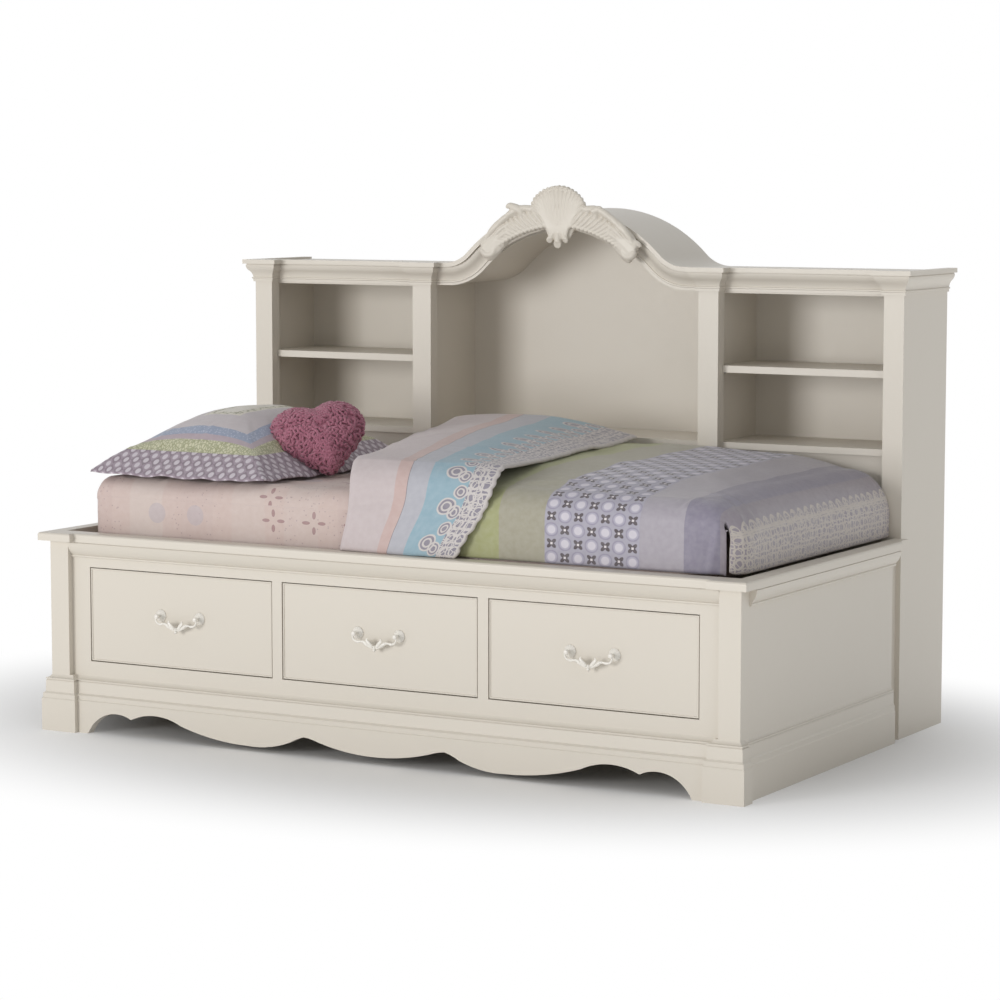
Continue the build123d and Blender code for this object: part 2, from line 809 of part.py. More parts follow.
def duvet():
    """Duvet over the right part of the bed, hanging into the well at the front and the end."""
    y0 = post_depth + bed_clearance
    y1 = mattress_back
    x0 = fold_left_back
    x1 = mattress_right + duvet_end_thickness + seat_gap
    hem = base_height + duvet_hem_rise
    top = mattress_top + seat_gap + duvet_thickness + duvet_crown
    plane = Plane(origin=(x0, 0, 0), x_dir=(0, 1, 0), z_dir=(1, 0, 0))
    face = make_face(Curve() + duvet_profile(y0, y1, top, duvet_edge_radius, hem))
    body = extrude(plane * face, amount=x1 - x0, dir=(1, 0, 0))
    r = 2 * duvet_edge_radius
    bend = r * (1 - sqrt(0.5))
    end = [
        Line((x0, hem), (x1, hem)),
        Line((x1, hem), (x1, top - r)),
        ThreePointArc((x1, top - r), (x1 - bend, top - bend), (x1 - r, top)),
        Line((x1 - r, top), (x0, top)),
        Line((x0, top), (x0, hem)),
    ]
    end_plane = Plane(origin=(0, y0, 0), x_dir=(1, 0, 0), z_dir=(0, -1, 0))
    body = body & extrude(end_plane * make_face(Curve() + end), amount=y1 - y0, dir=(0, 1, 0))
    body = body & slanted_plan(fold_left_front, fold_left_back, x1, x1, y0, y1)
    under = mattress_top + seat_gap
    hollow = box(x0, mattress_right + seat_gap, mattress_front - seat_gap, y1, hem, under)
    rear = box(x0, x1, panel_end - rear_post_overlap, y1, hem, under)
    return body - hollow - rear


def fold_section(x_front, x_back, share):
    """Leaning section of the turned-down fold, share times as thick as it is in the middle."""
    y0 = post_depth + bed_clearance - fold_gap
    y1 = mattress_back
    top = mattress_top + seat_gap + duvet_thickness + duvet_crown + fold_gap
    lean = sqrt(1 + ((x_back - x_front) / (y1 - y0)) ** 2)
    radius = duvet_edge_radius
    shoulder = top - duvet_crown
    bend = radius * (1 - sqrt(0.5))
    middle = (y0 + y1) / 2
    hem = base_height + seat_gap
    drape = fold_drape * share
    lift = fold_thickness * share
    outer = y0 - drape
    inside = [(y1, shoulder), (middle, top), (y0 + radius, shoulder),
              (y0 + bend, shoulder - bend), (y0, shoulder - radius), (y0, hem)]
    outside = [(outer, hem), (outer, shoulder - radius),
               (outer + bend, shoulder - bend + drape), (outer + 1.2 * radius, shoulder + drape),
               (middle, top + lift), (y1, shoulder + lift * 0.8)]
    a = [((y - y0) * lean, z) for y, z in inside]
    b = [((y - y0) * lean, z) for y, z in outside]
    edges = [
        ThreePointArc(a[0], a[1], a[2]),
        ThreePointArc(a[2], a[3], a[4]),
        Line(a[4], a[5]),
        Line(a[5], b[0]),
        Line(b[0], b[1]),
        ThreePointArc(b[1], b[2], b[3]),
        ThreePointArc(b[3], b[4], b[5]),
        Line(b[5], a[0]),
    ]
    along = Vector(x_back - x_front, y1 - y0, 0).normalized()
    normal = along.cross(Vector(0, 0, 1))
    plane = Plane(origin=(x_front, y0, 0), x_dir=along, z_dir=normal)
    return plane * make_face(Curve() + edges)


def duvet_fold():
    """Head end of the duvet, turned back over itself and draped over the front edge."""
    width = fold_right_front - fold_left_front
    width_back = fold_right_back - fold_left_back
    sections = []
    for place, share in ((0.0, fold_edge_share), (0.05, 0.72), (0.16, 0.94), (0.4, 1.0),
                         (0.78, 0.86), (0.93, 0.62), (1.0, fold_edge_share)):
        sections.append(fold_section(fold_left_front + width * place,
                                     fold_left_back + width_back * place, share))
    return loft(sections, ruled=True)


def pillow():
    """Pillow in a flanged sham: a crowned body that draws in to its ends, on its flat flange."""
    x0 = -cap_inner + pillow_left_gap
    x1 = x0 + pillow_width
    y0 = post_depth + pillow_front_gap
    y1 = y0 + pillow_length
    z0 = mattress_top + seat_gap
    z1 = z0 + pillow_flange_thickness
    flange = box(x0, x1, y0, y1, z0, z1)
    flange = fillet(flange.edges().filter_by(Axis.Z), pillow_flange / 3)
    bx0 = x0 + pillow_flange
    bx1 = x1 - pillow_flange
    by0 = y0 + pillow_flange
    by1 = y1 - pillow_flange
    middle = (bx0 + bx1) / 2
    rise = pillow_thickness - pillow_flange_thickness
    sections = []
    for share, height, draw in ((0.0, 0.12, 34.0), (0.06, 0.34, 18.0), (0.15, 0.62, 8.0),
                                (0.3, 0.88, 2.0), (0.5, 1.0, 0.0), (0.7, 0.88, 2.0),
                                (0.85, 0.62, 8.0), (0.94, 0.34, 18.0), (1.0, 0.12, 34.0)):
        y = by0 + (by1 - by0) * share
        left = bx0 + draw
        right = bx1 - draw
        quarter = (right - left) / 4
        crown = z1 + rise * height
        arcs = [
            ThreePointArc((left, z1 + 4), (left + quarter * 0.55, z1 + rise * height * 0.52),
                          (left + quarter * 1.3, z1 + rise * height * 0.84)),
            ThreePointArc((left + quarter * 1.3, z1 + rise * height * 0.84), (middle, crown),
                          (right - quarter * 1.3, z1 + rise * height * 0.84)),
            ThreePointArc((right - quarter * 1.3, z1 + rise * height * 0.84),
                          (right - quarter * 0.55, z1 + rise * height * 0.52), (right, z1 + 4)),
        ]
        rim = spaced(arcs, facet_pieces) + [Vector(right, z1 + 4)]
        points = [Vector(left, z1 - 1)] + rim + [Vector(right, z1 - 1)]
        sections.append([Vector(point.X, y, point.Y) for point in points])
    return flange + stacked(sections)


def heart_outline(size, height):
    """Points of the heart's outline at one height above its own middle plane."""
    half = size / 2
    top = half * 0.86
    notch = half * 0.52
    tip = -half * 0.98
    right = [
        ThreePointArc((0, notch), (half * 0.18, half * 0.78), (half * 0.48, top)),
        ThreePointArc((half * 0.48, top), (half * 0.90, half * 0.64), (half, half * 0.20)),
        ThreePointArc((half, half * 0.20), (half * 0.70, -half * 0.48), (0, tip)),
    ]
    left = [
        ThreePointArc((0, tip), (-half * 0.70, -half * 0.48), (-half, half * 0.20)),
        ThreePointArc((-half, half * 0.20), (-half * 0.90, half * 0.64), (-half * 0.48, top)),
        ThreePointArc((-half * 0.48, top), (-half * 0.18, half * 0.78), (0, notch)),
    ]
    return [point + Vector(0, 0, height) for point in spaced(right + left, facet_pieces)]


def heart_cushion(behind):
    """Heart-shaped cushion, crowned both sides, leaning on the flank of the pillow."""
    half = heart_thickness / 2
    loops = [heart_outline(heart_size * share, half * level)
             for share, level in ((0.50, -1.0), (0.76, -0.82), (0.94, -0.45), (1.0, 0.0),
                                  (0.94, 0.45), (0.76, 0.82), (0.50, 1.0))]
    place = Pos(heart_centre_x, heart_centre_y, mattress_top + heart_centre_rise)
    heart = place * Rot(0, 0, heart_turn) * Rot(90 - heart_tilt, 0, 0) * stacked(loops)
    for step in ((seat_gap, 0, 0), (0, 0, seat_gap), (seat_gap, 0, seat_gap)):
        heart -= Pos(*step) * behind
    span = box(-base_span, base_span, 0, rear_face, mattress_top + seat_gap, 3 * base_height)
    return heart & span


# Arch geometry
arch_sum = (arch_foot ** 2 + arch_rise ** 2) / (2 * arch_rise)
flare_radius = arch_sum * arch_flare_share
crown_radius = arch_sum - flare_radius
flare_centre_z = cornice_bottom + flare_radius
crown_centre_z = cornice_bottom + arch_rise - crown_radius
turn_angle = asin(arch_foot / arch_sum)
arch_crown = cornice_bottom + arch_rise
hood_top_offset = cornice_height - top_drop
hood_bottom_offset = hood_top_offset - hood_thickness
leaf_path_radius = crown_radius + leaf_rise
leaf_end_angle = asin(scroll_from_centre / leaf_path_radius)
crest_back = arch_face - cornice_projection


def ogee(offset, end=None):
    """The arch line from left to right, moved outwards by offset, with level ends if asked."""
    big = crown_radius + offset
    small = flare_radius - offset
    turn_x = big * sin(turn_angle)
    turn_z = crown_centre_z + big * cos(turn_angle)
    mid_x = arch_foot - small * sin(turn_angle / 2)
    mid_z = flare_centre_z - small * cos(turn_angle / 2)
    level = cornice_bottom + offset
    edges = [
        ThreePointArc((-arch_foot, level), (-mid_x, mid_z), (-turn_x, turn_z)),
        ThreePointArc((-turn_x, turn_z), (0, crown_centre_z + big), (turn_x, turn_z)),
        ThreePointArc((turn_x, turn_z), (mid_x, mid_z), (arch_foot, level)),
    ]
    if end is not None and end > arch_foot:
        edges = [Line((-end, level), (-arch_foot, level))] + edges
        edges.append(Line((arch_foot, level), (end, level)))
    return edges


def front_plane(y):
    """Plane parallel to the front, x to the right and y up."""
    return Plane(origin=(0, y, 0), x_dir=(1, 0, 0), z_dir=(0, -1, 0))


def arched_band(low, high, end, y0, y1):
    """Solid between two arch lines, from y0 back to y1."""
    low_z = cornice_bottom + low
    high_z = cornice_bottom + high
    edges = ogee(low, end) + ogee(high, end)
    edges += [Line((-end, low_z), (-end, high_z)), Line((end, low_z), (end, high_z))]
    return extrude(front_plane(y0) * make_face(Curve() + edges), amount=y1 - y0, dir=(0, 1, 0))


# Bookcase carcase
def bookcase_side(side):
    """Full-height end, behind its stile, under the top board, bored for the shelf pins."""
    panel = box(side * side_inner, side * side_outer, stile_back, rear_face, 0,
                top_face - top_thickness)
    return panel - pin_holes(side)


def divider(side):
    """Upright between a bay and the centre niche."""
    panel = box(side * divider_inner, side * divider_outer, stile_back, back_front, 0,
                top_face - top_thickness)
    return panel - pin_holes(side)


def outer_stile(side):
    """Front post at each end of the bookcase."""
    return box(side * outer_stile_inner, side * side_outer, bookcase_front, stile_back, 0,
               top_face - top_thickness)


def inner_stile(side):
    """Front post in front of each divider, bored for the bolts that hold the base to it."""
    post = box(side * inner_stile_inner, side * inner_stile_outer, bookcase_front, stile_back, 0,
               top_face - top_thickness)
    return post - bolt_holes()


def bay_header(side):
    """Board over one bay's opening, behind the cornice."""
    return box(side * inner_stile_outer, side * outer_stile_inner, header_face,
               header_face + header_thickness, cornice_bottom - header_reveal,
               top_face - top_thickness) - stile_space()


def stile_space():
    """The room that the four stiles take."""
    room = outer_stile(1) + outer_stile(-1)
    for side in (-1, 1):
        room += box(side * inner_stile_inner, side * inner_stile_outer, bookcase_front,
                    stile_back, 0, top_face - top_thickness)
    return room


def bays():
    """Left and right limits of the three bays, between sides and dividers."""
    return ((-side_inner, -divider_outer), (-divider_inner, divider_inner),
            (divider_outer, side_inner))


def deck():
    """Deck boards of the three bays, notched round the stiles."""
    front = bookcase_front + deck_front_recess
    boards = []
    for x0, x1 in bays():
        board = box(x0, x1, front, back_front, deck_top - deck_thickness, deck_top)
        boards.append(board - stile_space())
    return boards


def lower_panels():
    """Panels below the deck, behind the stiles, from divider to divider."""
    y0 = bookcase_front + lower_panel_recess
    return [box(x0, x1, y0, y0 + lower_panel_thickness, lower_panel_bottom,
                deck_top - deck_thickness) for x0, x1 in bays()]


def shelf(side):
    """Loose shelf in one side bay, notched round the stiles."""
    x0, x1 = bays()[2]
    board = box(x0 + shelf_end_gap, x1 - shelf_end_gap, bookcase_front + shelf_recess,
                back_front - shelf_end_gap, shelf_top - shelf_thickness, shelf_top)
    gap = shelf_end_gap
    notch = box(0, inner_stile_outer + gap, bookcase_front, stile_back + gap, 0, 2 * shelf_top)
    notch += box(outer_stile_inner - gap, side_outer, bookcase_front, stile_back + gap, 0,
                 2 * shelf_top)
    board = board - notch
    return board if side > 0 else mirrored(board)


def pin_places():
    """Middle of each shelf pin in the right bay: x of the wall face, inward direction and y."""
    ys = (stile_back + pin_inset, back_front - pin_inset)
    return [(x, inward, y) for x, inward in ((divider_outer, 1), (side_inner, -1)) for y in ys]


pin_z = shelf_top - shelf_thickness - seat_gap - pin_radius


def shelf_pins(side, radius=pin_radius):
    """The four pins that carry one shelf, part in the wall and part under the shelf."""
    pins = []
    for x, inward, y in pin_places():
        middle = x + inward * (pin_length / 2 - pin_embed)
        pin = Pos(middle, y, pin_z) * Rot(0, 90, 0) * Cylinder(radius, pin_length)
        pins.append(pin if side > 0 else mirrored(pin))
    return pins


def pin_holes(side):
    """Bores for the pins of one bay, with a running clearance."""
    holes = Part()
    for hole in shelf_pins(side, pin_radius + bolt_clearance / 3):
        holes += hole
    return holes


def back_panel():
    """Back of the bookcase, arched over the niche up to the underside of the hood."""
    low = lower_panel_bottom
    flat = top_face - top_thickness
    plain = box(-side_inner, side_inner, back_front, back_front + back_thickness, stile_bottom,
                flat)
    edges = ogee(hood_bottom_offset)
    level = cornice_bottom + hood_bottom_offset
    edges += [Line((-arch_foot, level), (-arch_foot, low)), Line((-arch_foot, low), (arch_foot, low)),
              Line((arch_foot, low), (arch_foot, level))]
    arch = extrude(front_plane(back_front) * make_face(Curve() + edges), amount=back_thickness,
                   dir=(0, 1, 0))
    return plain + arch


def top_board(side):
    """Flat top over one bay, from the arch foot to the end."""
    board = box(side * arch_foot, side * side_outer, arch_face, rear_face,
                top_face - top_thickness, top_face)
    bay = box(side * inner_stile_outer, side * outer_stile_inner, arch_face, header_face,
              top_face - top_thickness, top_face)
    return board - bay


def arched_hood():
    """Barrel roof over the niche, with the ogee line of the arch, from front to back."""
    return arched_band(hood_bottom_offset, hood_top_offset, arch_foot, arch_face, rear_face)


def arched_soffit():
    """Curved ceiling of the niche, level with the underside of the arch."""
    y0 = arch_face + header_thickness
    return arched_band(soffit_lift, soffit_lift + soffit_thickness, divider_inner, y0, back_front)


def arch_header():
    """Curved board between the inner stiles that carries the arched cornice."""
    band = arched_band(0, hood_bottom_offset, inner_stile_inner, arch_face,
                       arch_face + header_thickness)
    return band - top_board(-1) - top_board(1)


# Cornice
def cornice_block(x_low, x_high, y_end):
    """Cornice mitred round the front and both faces of one stile."""
    deep = cornice_outline(2 * bookcase_depth)
    reach = 2 * cornice_projection
    start = bookcase_front - reach
    front = front_run(deep, bookcase_front, cornice_bottom, x_low - reach, x_high + reach)
    outer = side_run(deep, x_high, cornice_bottom, start, y_end)
    inner = side_run(deep, x_low, cornice_bottom, start, y_end, outward=-1)
    return front & outer & inner


def cornice(side):
    """Cornice of one end: outer stile with its return to the wall, bay and inner stile."""
    section = cornice_outline(0)
    run = cornice_block(outer_stile_inner, side_outer, header_face)
    run += side_run(section, side_outer, cornice_bottom, header_face, rear_face)
    run += front_run(section, header_face, cornice_bottom, inner_stile_outer, outer_stile_inner)
    run += cornice_block(inner_stile_inner, inner_stile_outer, header_face)
    run -= box(inner_stile_inner, inner_stile_outer, bookcase_front, stile_back, 0,
               top_face - top_thickness)
    run -= box(outer_stile_inner, side_outer, bookcase_front, stile_back, 0,
               top_face - top_thickness)
    run -= box(0, inner_stile_outer, arch_face, rear_face, 0, 2 * bookcase_flat_height)
    run -= box(outer_stile_inner, side_outer, arch_face, rear_face, top_face - top_thickness,
               top_face)
    return run if side > 0 else mirrored(run)


def arched_cornice(ends):
    """Cornice section swept along the ogee arch, between the inner stiles."""
    path = front_plane(arch_face) * (Curve() + ogee(0, inner_stile_inner))
    start = (-inner_stile_inner, arch_face, cornice_bottom)
    plane = Plane(origin=start, x_dir=(0, -1, 0), z_dir=(-1, 0, 0))
    run = sweep(plane * cornice_outline(0), path=path)
    for end in ends:
        run -= end
    return run.solids().sort_by(SortBy.VOLUME)[-1]


# Crest
def rib(start, end, start_radius, end_radius, y):
    """Tapered rib with a blunt tip, between two points of the front plane."""
    dx = end[0] - start[0]
    dz = end[1] - start[1]
    length = sqrt(dx * dx + dz * dz)
    place = Pos(start[0], y, start[1]) * Rot(0, degrees(atan2(dx, dz)), 0)
    return taper(place, rib_sides, (0, start_radius), (length, end_radius),
                 (length + end_radius * 0.8, end_radius * 0.55))


def on_arch(radius, angle):
    """Point of the front plane at a radius and an angle from the top, about the crown's centre."""
    return (radius * sin(angle), crown_centre_z + radius * cos(angle))


def shell():
    """Fan of fluted ribs from a narrow waist, longest in the middle."""
    focus = arch_crown - shell_focus_drop
    half = (shell_ribs - 1) // 2
    ribs = []
    for n in range(-half, half + 1):
        lean = radians(n * shell_rib_angle)
        length = shell_length * (1 - (1 - shell_side_share) * (abs(n) / half) ** 1.6)
        tip = length - length * shell_rib_taper
        start = (shell_rib_start * sin(lean), focus + shell_rib_start * cos(lean))
        end = (tip * sin(lean), focus + tip * cos(lean))
        ribs.append(rib(start, end, shell_rib_foot, length * shell_rib_taper,
                        crest_back - rib_lift))
    return ribs[0].fuse(*ribs[1:])


def toes():
    """Three curled toes under the shell's waist, the middle one lowest."""
    ribs = []
    for n in (-1, 0, 1):
        start = (n * toe_spread * 0.4, arch_crown + toe_radius)
        end = (n * toe_spread, arch_crown - toe_drop - (1 - abs(n)) * toe_radius)
        ribs.append(rib(start, end, toe_neck_radius, toe_radius, crest_back - rib_lift))
    return ribs[0].fuse(*ribs[1:])


def plumes():
    """Lobes of the right leaf that fall over the arch moulding, and its upper tip."""
    lobes = []
    for n in range(leaf_plumes):
        angle = leaf_end_angle * (plume_first_share + plume_span_share * n / (leaf_plumes - 1))
        root = on_arch(leaf_path_radius + leaf_radius * 0.4, angle)
        tip = on_arch(leaf_path_radius - plume_length, angle + radians(plume_curl))
        lobes.append(rib(root, tip, plume_root_radius, plume_tip_radius,
                         crest_back - plume_lift))
    tip_angle = asin(leaf_tip_from_centre / leaf_path_radius)
    lobes.append(rib(on_arch(leaf_path_radius, tip_angle * 0.7),
                     on_arch(leaf_path_radius + leaf_tip_rise, tip_angle), plume_root_radius,
                     plume_tip_radius, crest_back - rib_lift))
    return lobes[0].fuse(*lobes[1:])


def scroll():
    """Rolled end of the right leaf: a round boss that draws in towards its front."""
    x, z = on_arch(leaf_path_radius, leaf_end_angle)
    place = Pos(x, crest_back, z) * Rot(90, 0, 0)
    depth = scroll_depth
    return taper(place, 2 * rib_sides, (0, scroll_radius), (depth * 0.5, scroll_radius),
                 (depth * 0.8, scroll_radius * 0.84), (depth, scroll_radius * 0.5))


def leaf_stem():
    """Rounded stem of both leaves, along the crown of the arch from scroll to scroll."""
    half = degrees(leaf_end_angle)
    arc = CenterArc((0, crown_centre_z), leaf_path_radius, 90 - half, 2 * half)
    path = front_plane(crest_back - stem_lift) * bent([arc], stem_pieces)
    section = Plane(origin=path @ 0, z_dir=path % 0) * RegularPolygon(leaf_radius, rib_sides)
    return sweep(section, path=path, transition=Transition.RIGHT)


def crest():
    """Carved crest: fluted shell on three curled toes, with acanthus leaves to scrolled ends."""
    front = box(-arch_foot, arch_foot, crest_back - crest_depth, crest_back, cornice_bottom,
                2 * bookcase_flat_height)
    right = [plumes() & front, scroll()]
    pieces = [part & front for part in (leaf_stem(), shell(), toes())]
    pieces += right + [mirrored(piece) for piece in right]
    return pieces[0].fuse(*pieces[1:])


# Joining bolts
def bolt(x, z, clearance=0.0):
    """Bolt through the rear rail into an inner stile of the bookcase."""
    y0 = rear_rail_front
    length = rear_rail_thickness + bolt_hold
    shank = Pos(x, y0 + length / 2, z) * Rot(90, 0, 0) * Cylinder(bolt_radius + clearance, length)
    return shank


def bolt_places():
    """Middle of each bolt along the length and its height."""
    return [(side * divider_centre, z) for side in (-1, 1) for z in bolt_heights]


def bolt_holes():
    """Bores for all the bolts."""
    holes = Part()
    for x, z in bolt_places():
        holes += bolt(x, z, bolt_clearance)
    return holes


def joining_bolts():
    """Bolts with their flat heads on the inside of the rear rail."""
    bolts = []
    for x, z in bolt_places():
        head = Pos(x, rear_rail_front - bolt_head_thickness / 2, z) * Rot(90, 0, 0) * Cylinder(
            bolt_head_radius, bolt_head_thickness)
        bolts.append(bolt(x, z) + head)
    return bolts


def rear_rail():
    """Rail between the rear posts, bolted to the bookcase."""
    span = panel_inner - rear_post_width
    rail = box(-span, span, rear_rail_front, bookcase_front, ledger_top - rear_rail_height,
               ledger_top)
    return rail - bolt_holes()


def main():
    """Build every node and write it."""
    feet = [foot_block(side) for side in (-1, 1)]
    save("corner_posts", *[corner_post(side) for side in (-1, 1)])
    save("foot_blocks", *feet)
    save("rear_posts", *[rear_post(side) for side in (-1, 1)])
    save("side_panel_left", side_panel(-1))
    save("side_panel_right", side_panel(1))
    save("side_plinth_left", side_plinth(-1))
    save("side_plinth_right", side_plinth(1))
    save("base_moulding_front", base_moulding_front(feet))
    save("apron_front", apron())
    ring = cap_ring()
    ends = [end_of_cap(ring, side) for side in (-1, 1)]
    save("cap_left", ends[0])
    save("cap_right", ends[1])
    save("cap_front", ring - ends[0] - ends[1])
    save("front_top_rail", box(-stile_inner, stile_inner, frame_set_back, frame_back, opening_top,
                               board_bottom))
    save("front_bottom_rail", box(-stile_inner, stile_inner, frame_set_back, frame_back,
                                  bottom_rail_bottom, opening_bottom))
    save("front_stiles", *front_stiles())
    save("rear_rail", rear_rail())
    save("slat_ledgers", *slat_ledgers())
    save("bed_slats", *bed_slats())
    save("drawer_runners", *drawer_runners())
    save("drawer_tracks", *[centre_track(n * drawer_pitch) for n in (-1, 0, 1)])
    save("drawer_cross_rail", cross_rail())
    for n, name in ((-1, "left"), (0, "centre"), (1, "right")):
        middle = n * drawer_pitch
        save("drawer_front_" + name, drawer_front(middle))
        save("drawer_box_" + name, *drawer_box(middle))
        save("pull_mounts_" + name, *pull_mounts(middle))
        save("pull_bail_" + name, pull_bail(middle))
    save("mattress", mattress())
    save("duvet", duvet())
    save("duvet_fold", duvet_fold())
    sham = pillow()
    save("pillow", sham)
    save("heart_cushion", heart_cushion(sham))
    save("bookcase_side_left", bookcase_side(-1))
    save("bookcase_side_right", bookcase_side(1))
    save("bookcase_dividers", *[divider(side) for side in (-1, 1)])
    save("outer_stiles", *[outer_stile(side) for side in (-1, 1)])
    save("inner_stiles", *[inner_stile(side) for side in (-1, 1)])
    save("bay_headers", *[bay_header(side) for side in (-1, 1)])
    save("arch_header", arch_header())
    save("bookcase_deck", *deck())
    save("lower_panels", *lower_panels())
    save("shelf_left", shelf(-1))
    save("shelf_right", shelf(1))
    save("shelf_pins", *shelf_pins(-1), *shelf_pins(1))
    save("back_panel", back_panel())
    save("top_boards", *[top_board(side) for side in (-1, 1)])
    save("arched_hood", arched_hood())
    save("arched_soffit", arched_soffit())
    sides = [cornice(side) for side in (-1, 1)]
    save("cornice_left", sides[0])
    save("cornice_right", sides[1])
    save("cornice_arch", arched_cornice(sides))
    save("crest_carving", crest())
    save("joining_bolts", *joining_bolts())


main()
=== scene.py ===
"""Studio scene of the storage daybed: painted joinery, carved crest, drawer pulls and dressed bedding."""
import logging
import math
from dataclasses import dataclass, field
from enum import Enum
from typing import Callable

import bmesh
import bpy
import numpy as np
from mathutils import Matrix, Vector


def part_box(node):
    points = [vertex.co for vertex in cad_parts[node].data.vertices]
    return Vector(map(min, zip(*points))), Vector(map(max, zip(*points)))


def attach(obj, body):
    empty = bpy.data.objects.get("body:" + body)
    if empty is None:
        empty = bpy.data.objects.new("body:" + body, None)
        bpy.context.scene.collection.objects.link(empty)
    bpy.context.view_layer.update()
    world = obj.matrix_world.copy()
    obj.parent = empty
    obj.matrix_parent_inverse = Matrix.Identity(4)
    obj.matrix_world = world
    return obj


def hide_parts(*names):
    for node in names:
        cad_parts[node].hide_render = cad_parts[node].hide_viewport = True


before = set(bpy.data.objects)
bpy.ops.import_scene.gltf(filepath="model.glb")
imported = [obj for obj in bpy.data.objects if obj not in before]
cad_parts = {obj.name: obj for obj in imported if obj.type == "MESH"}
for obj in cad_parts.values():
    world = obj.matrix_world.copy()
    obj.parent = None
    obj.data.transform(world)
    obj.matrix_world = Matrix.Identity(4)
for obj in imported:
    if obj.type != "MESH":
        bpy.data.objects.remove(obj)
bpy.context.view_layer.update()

LOG = logging.getLogger("daybed")
Array = np.ndarray
CLOTH_MAP = "Cloth"
HALF_TURN = math.pi
QUARTER = math.pi / 2
DRAWERS = {"left": -0.618667, "centre": 0.0, "right": 0.618667}


class Kind(Enum):
    """Families of finish on the parts that keep their own shape."""

    PAINT = "painted_wood"
    INNER = "inner_wood"
    STEEL = "steel"
    PULL = "pull_metal"


def srgb(code: str) -> tuple[float, float, float, float]:
    """Turns a hex colour into the linear values that a shader takes."""
    values = np.array([int(code[i:i + 2], 16) for i in (0, 2, 4)]) / 255
    linear = np.where(values <= 0.04045, values / 12.92, ((values + 0.055) / 1.055) ** 2.4)
    return (*[float(v) for v in linear], 1.0)


class Value:
    """One output of a node tree. Arithmetic on it adds Math nodes to that tree."""

    def __init__(self, graph: "Graph", socket: bpy.types.NodeSocket) -> None:
        self.graph = graph
        self.socket = socket

    def _do(self, operation: str, first: object, second: object = None) -> "Value":
        return self.graph.math(operation, first, second)

    def __add__(self, other: object) -> "Value":
        return self._do("ADD", self, other)

    def __sub__(self, other: object) -> "Value":
        return self._do("SUBTRACT", self, other)

    def __rsub__(self, other: object) -> "Value":
        return self._do("SUBTRACT", other, self)

    def __mul__(self, other: object) -> "Value":
        return self._do("MULTIPLY", self, other)

    def __truediv__(self, other: object) -> "Value":
        return self._do("DIVIDE", self, other)

    def __lt__(self, other: object) -> "Value":
        return self._do("LESS_THAN", self, other)

    def __gt__(self, other: object) -> "Value":
        return self._do("GREATER_THAN", self, other)

    def __and__(self, other: object) -> "Value":
        return self._do("MULTIPLY", self, other)

    def __or__(self, other: object) -> "Value":
        return self._do("MAXIMUM", self, other)

    def __abs__(self) -> "Value":
        return self._do("ABSOLUTE", self)

    __radd__ = __add__
    __rmul__ = __mul__


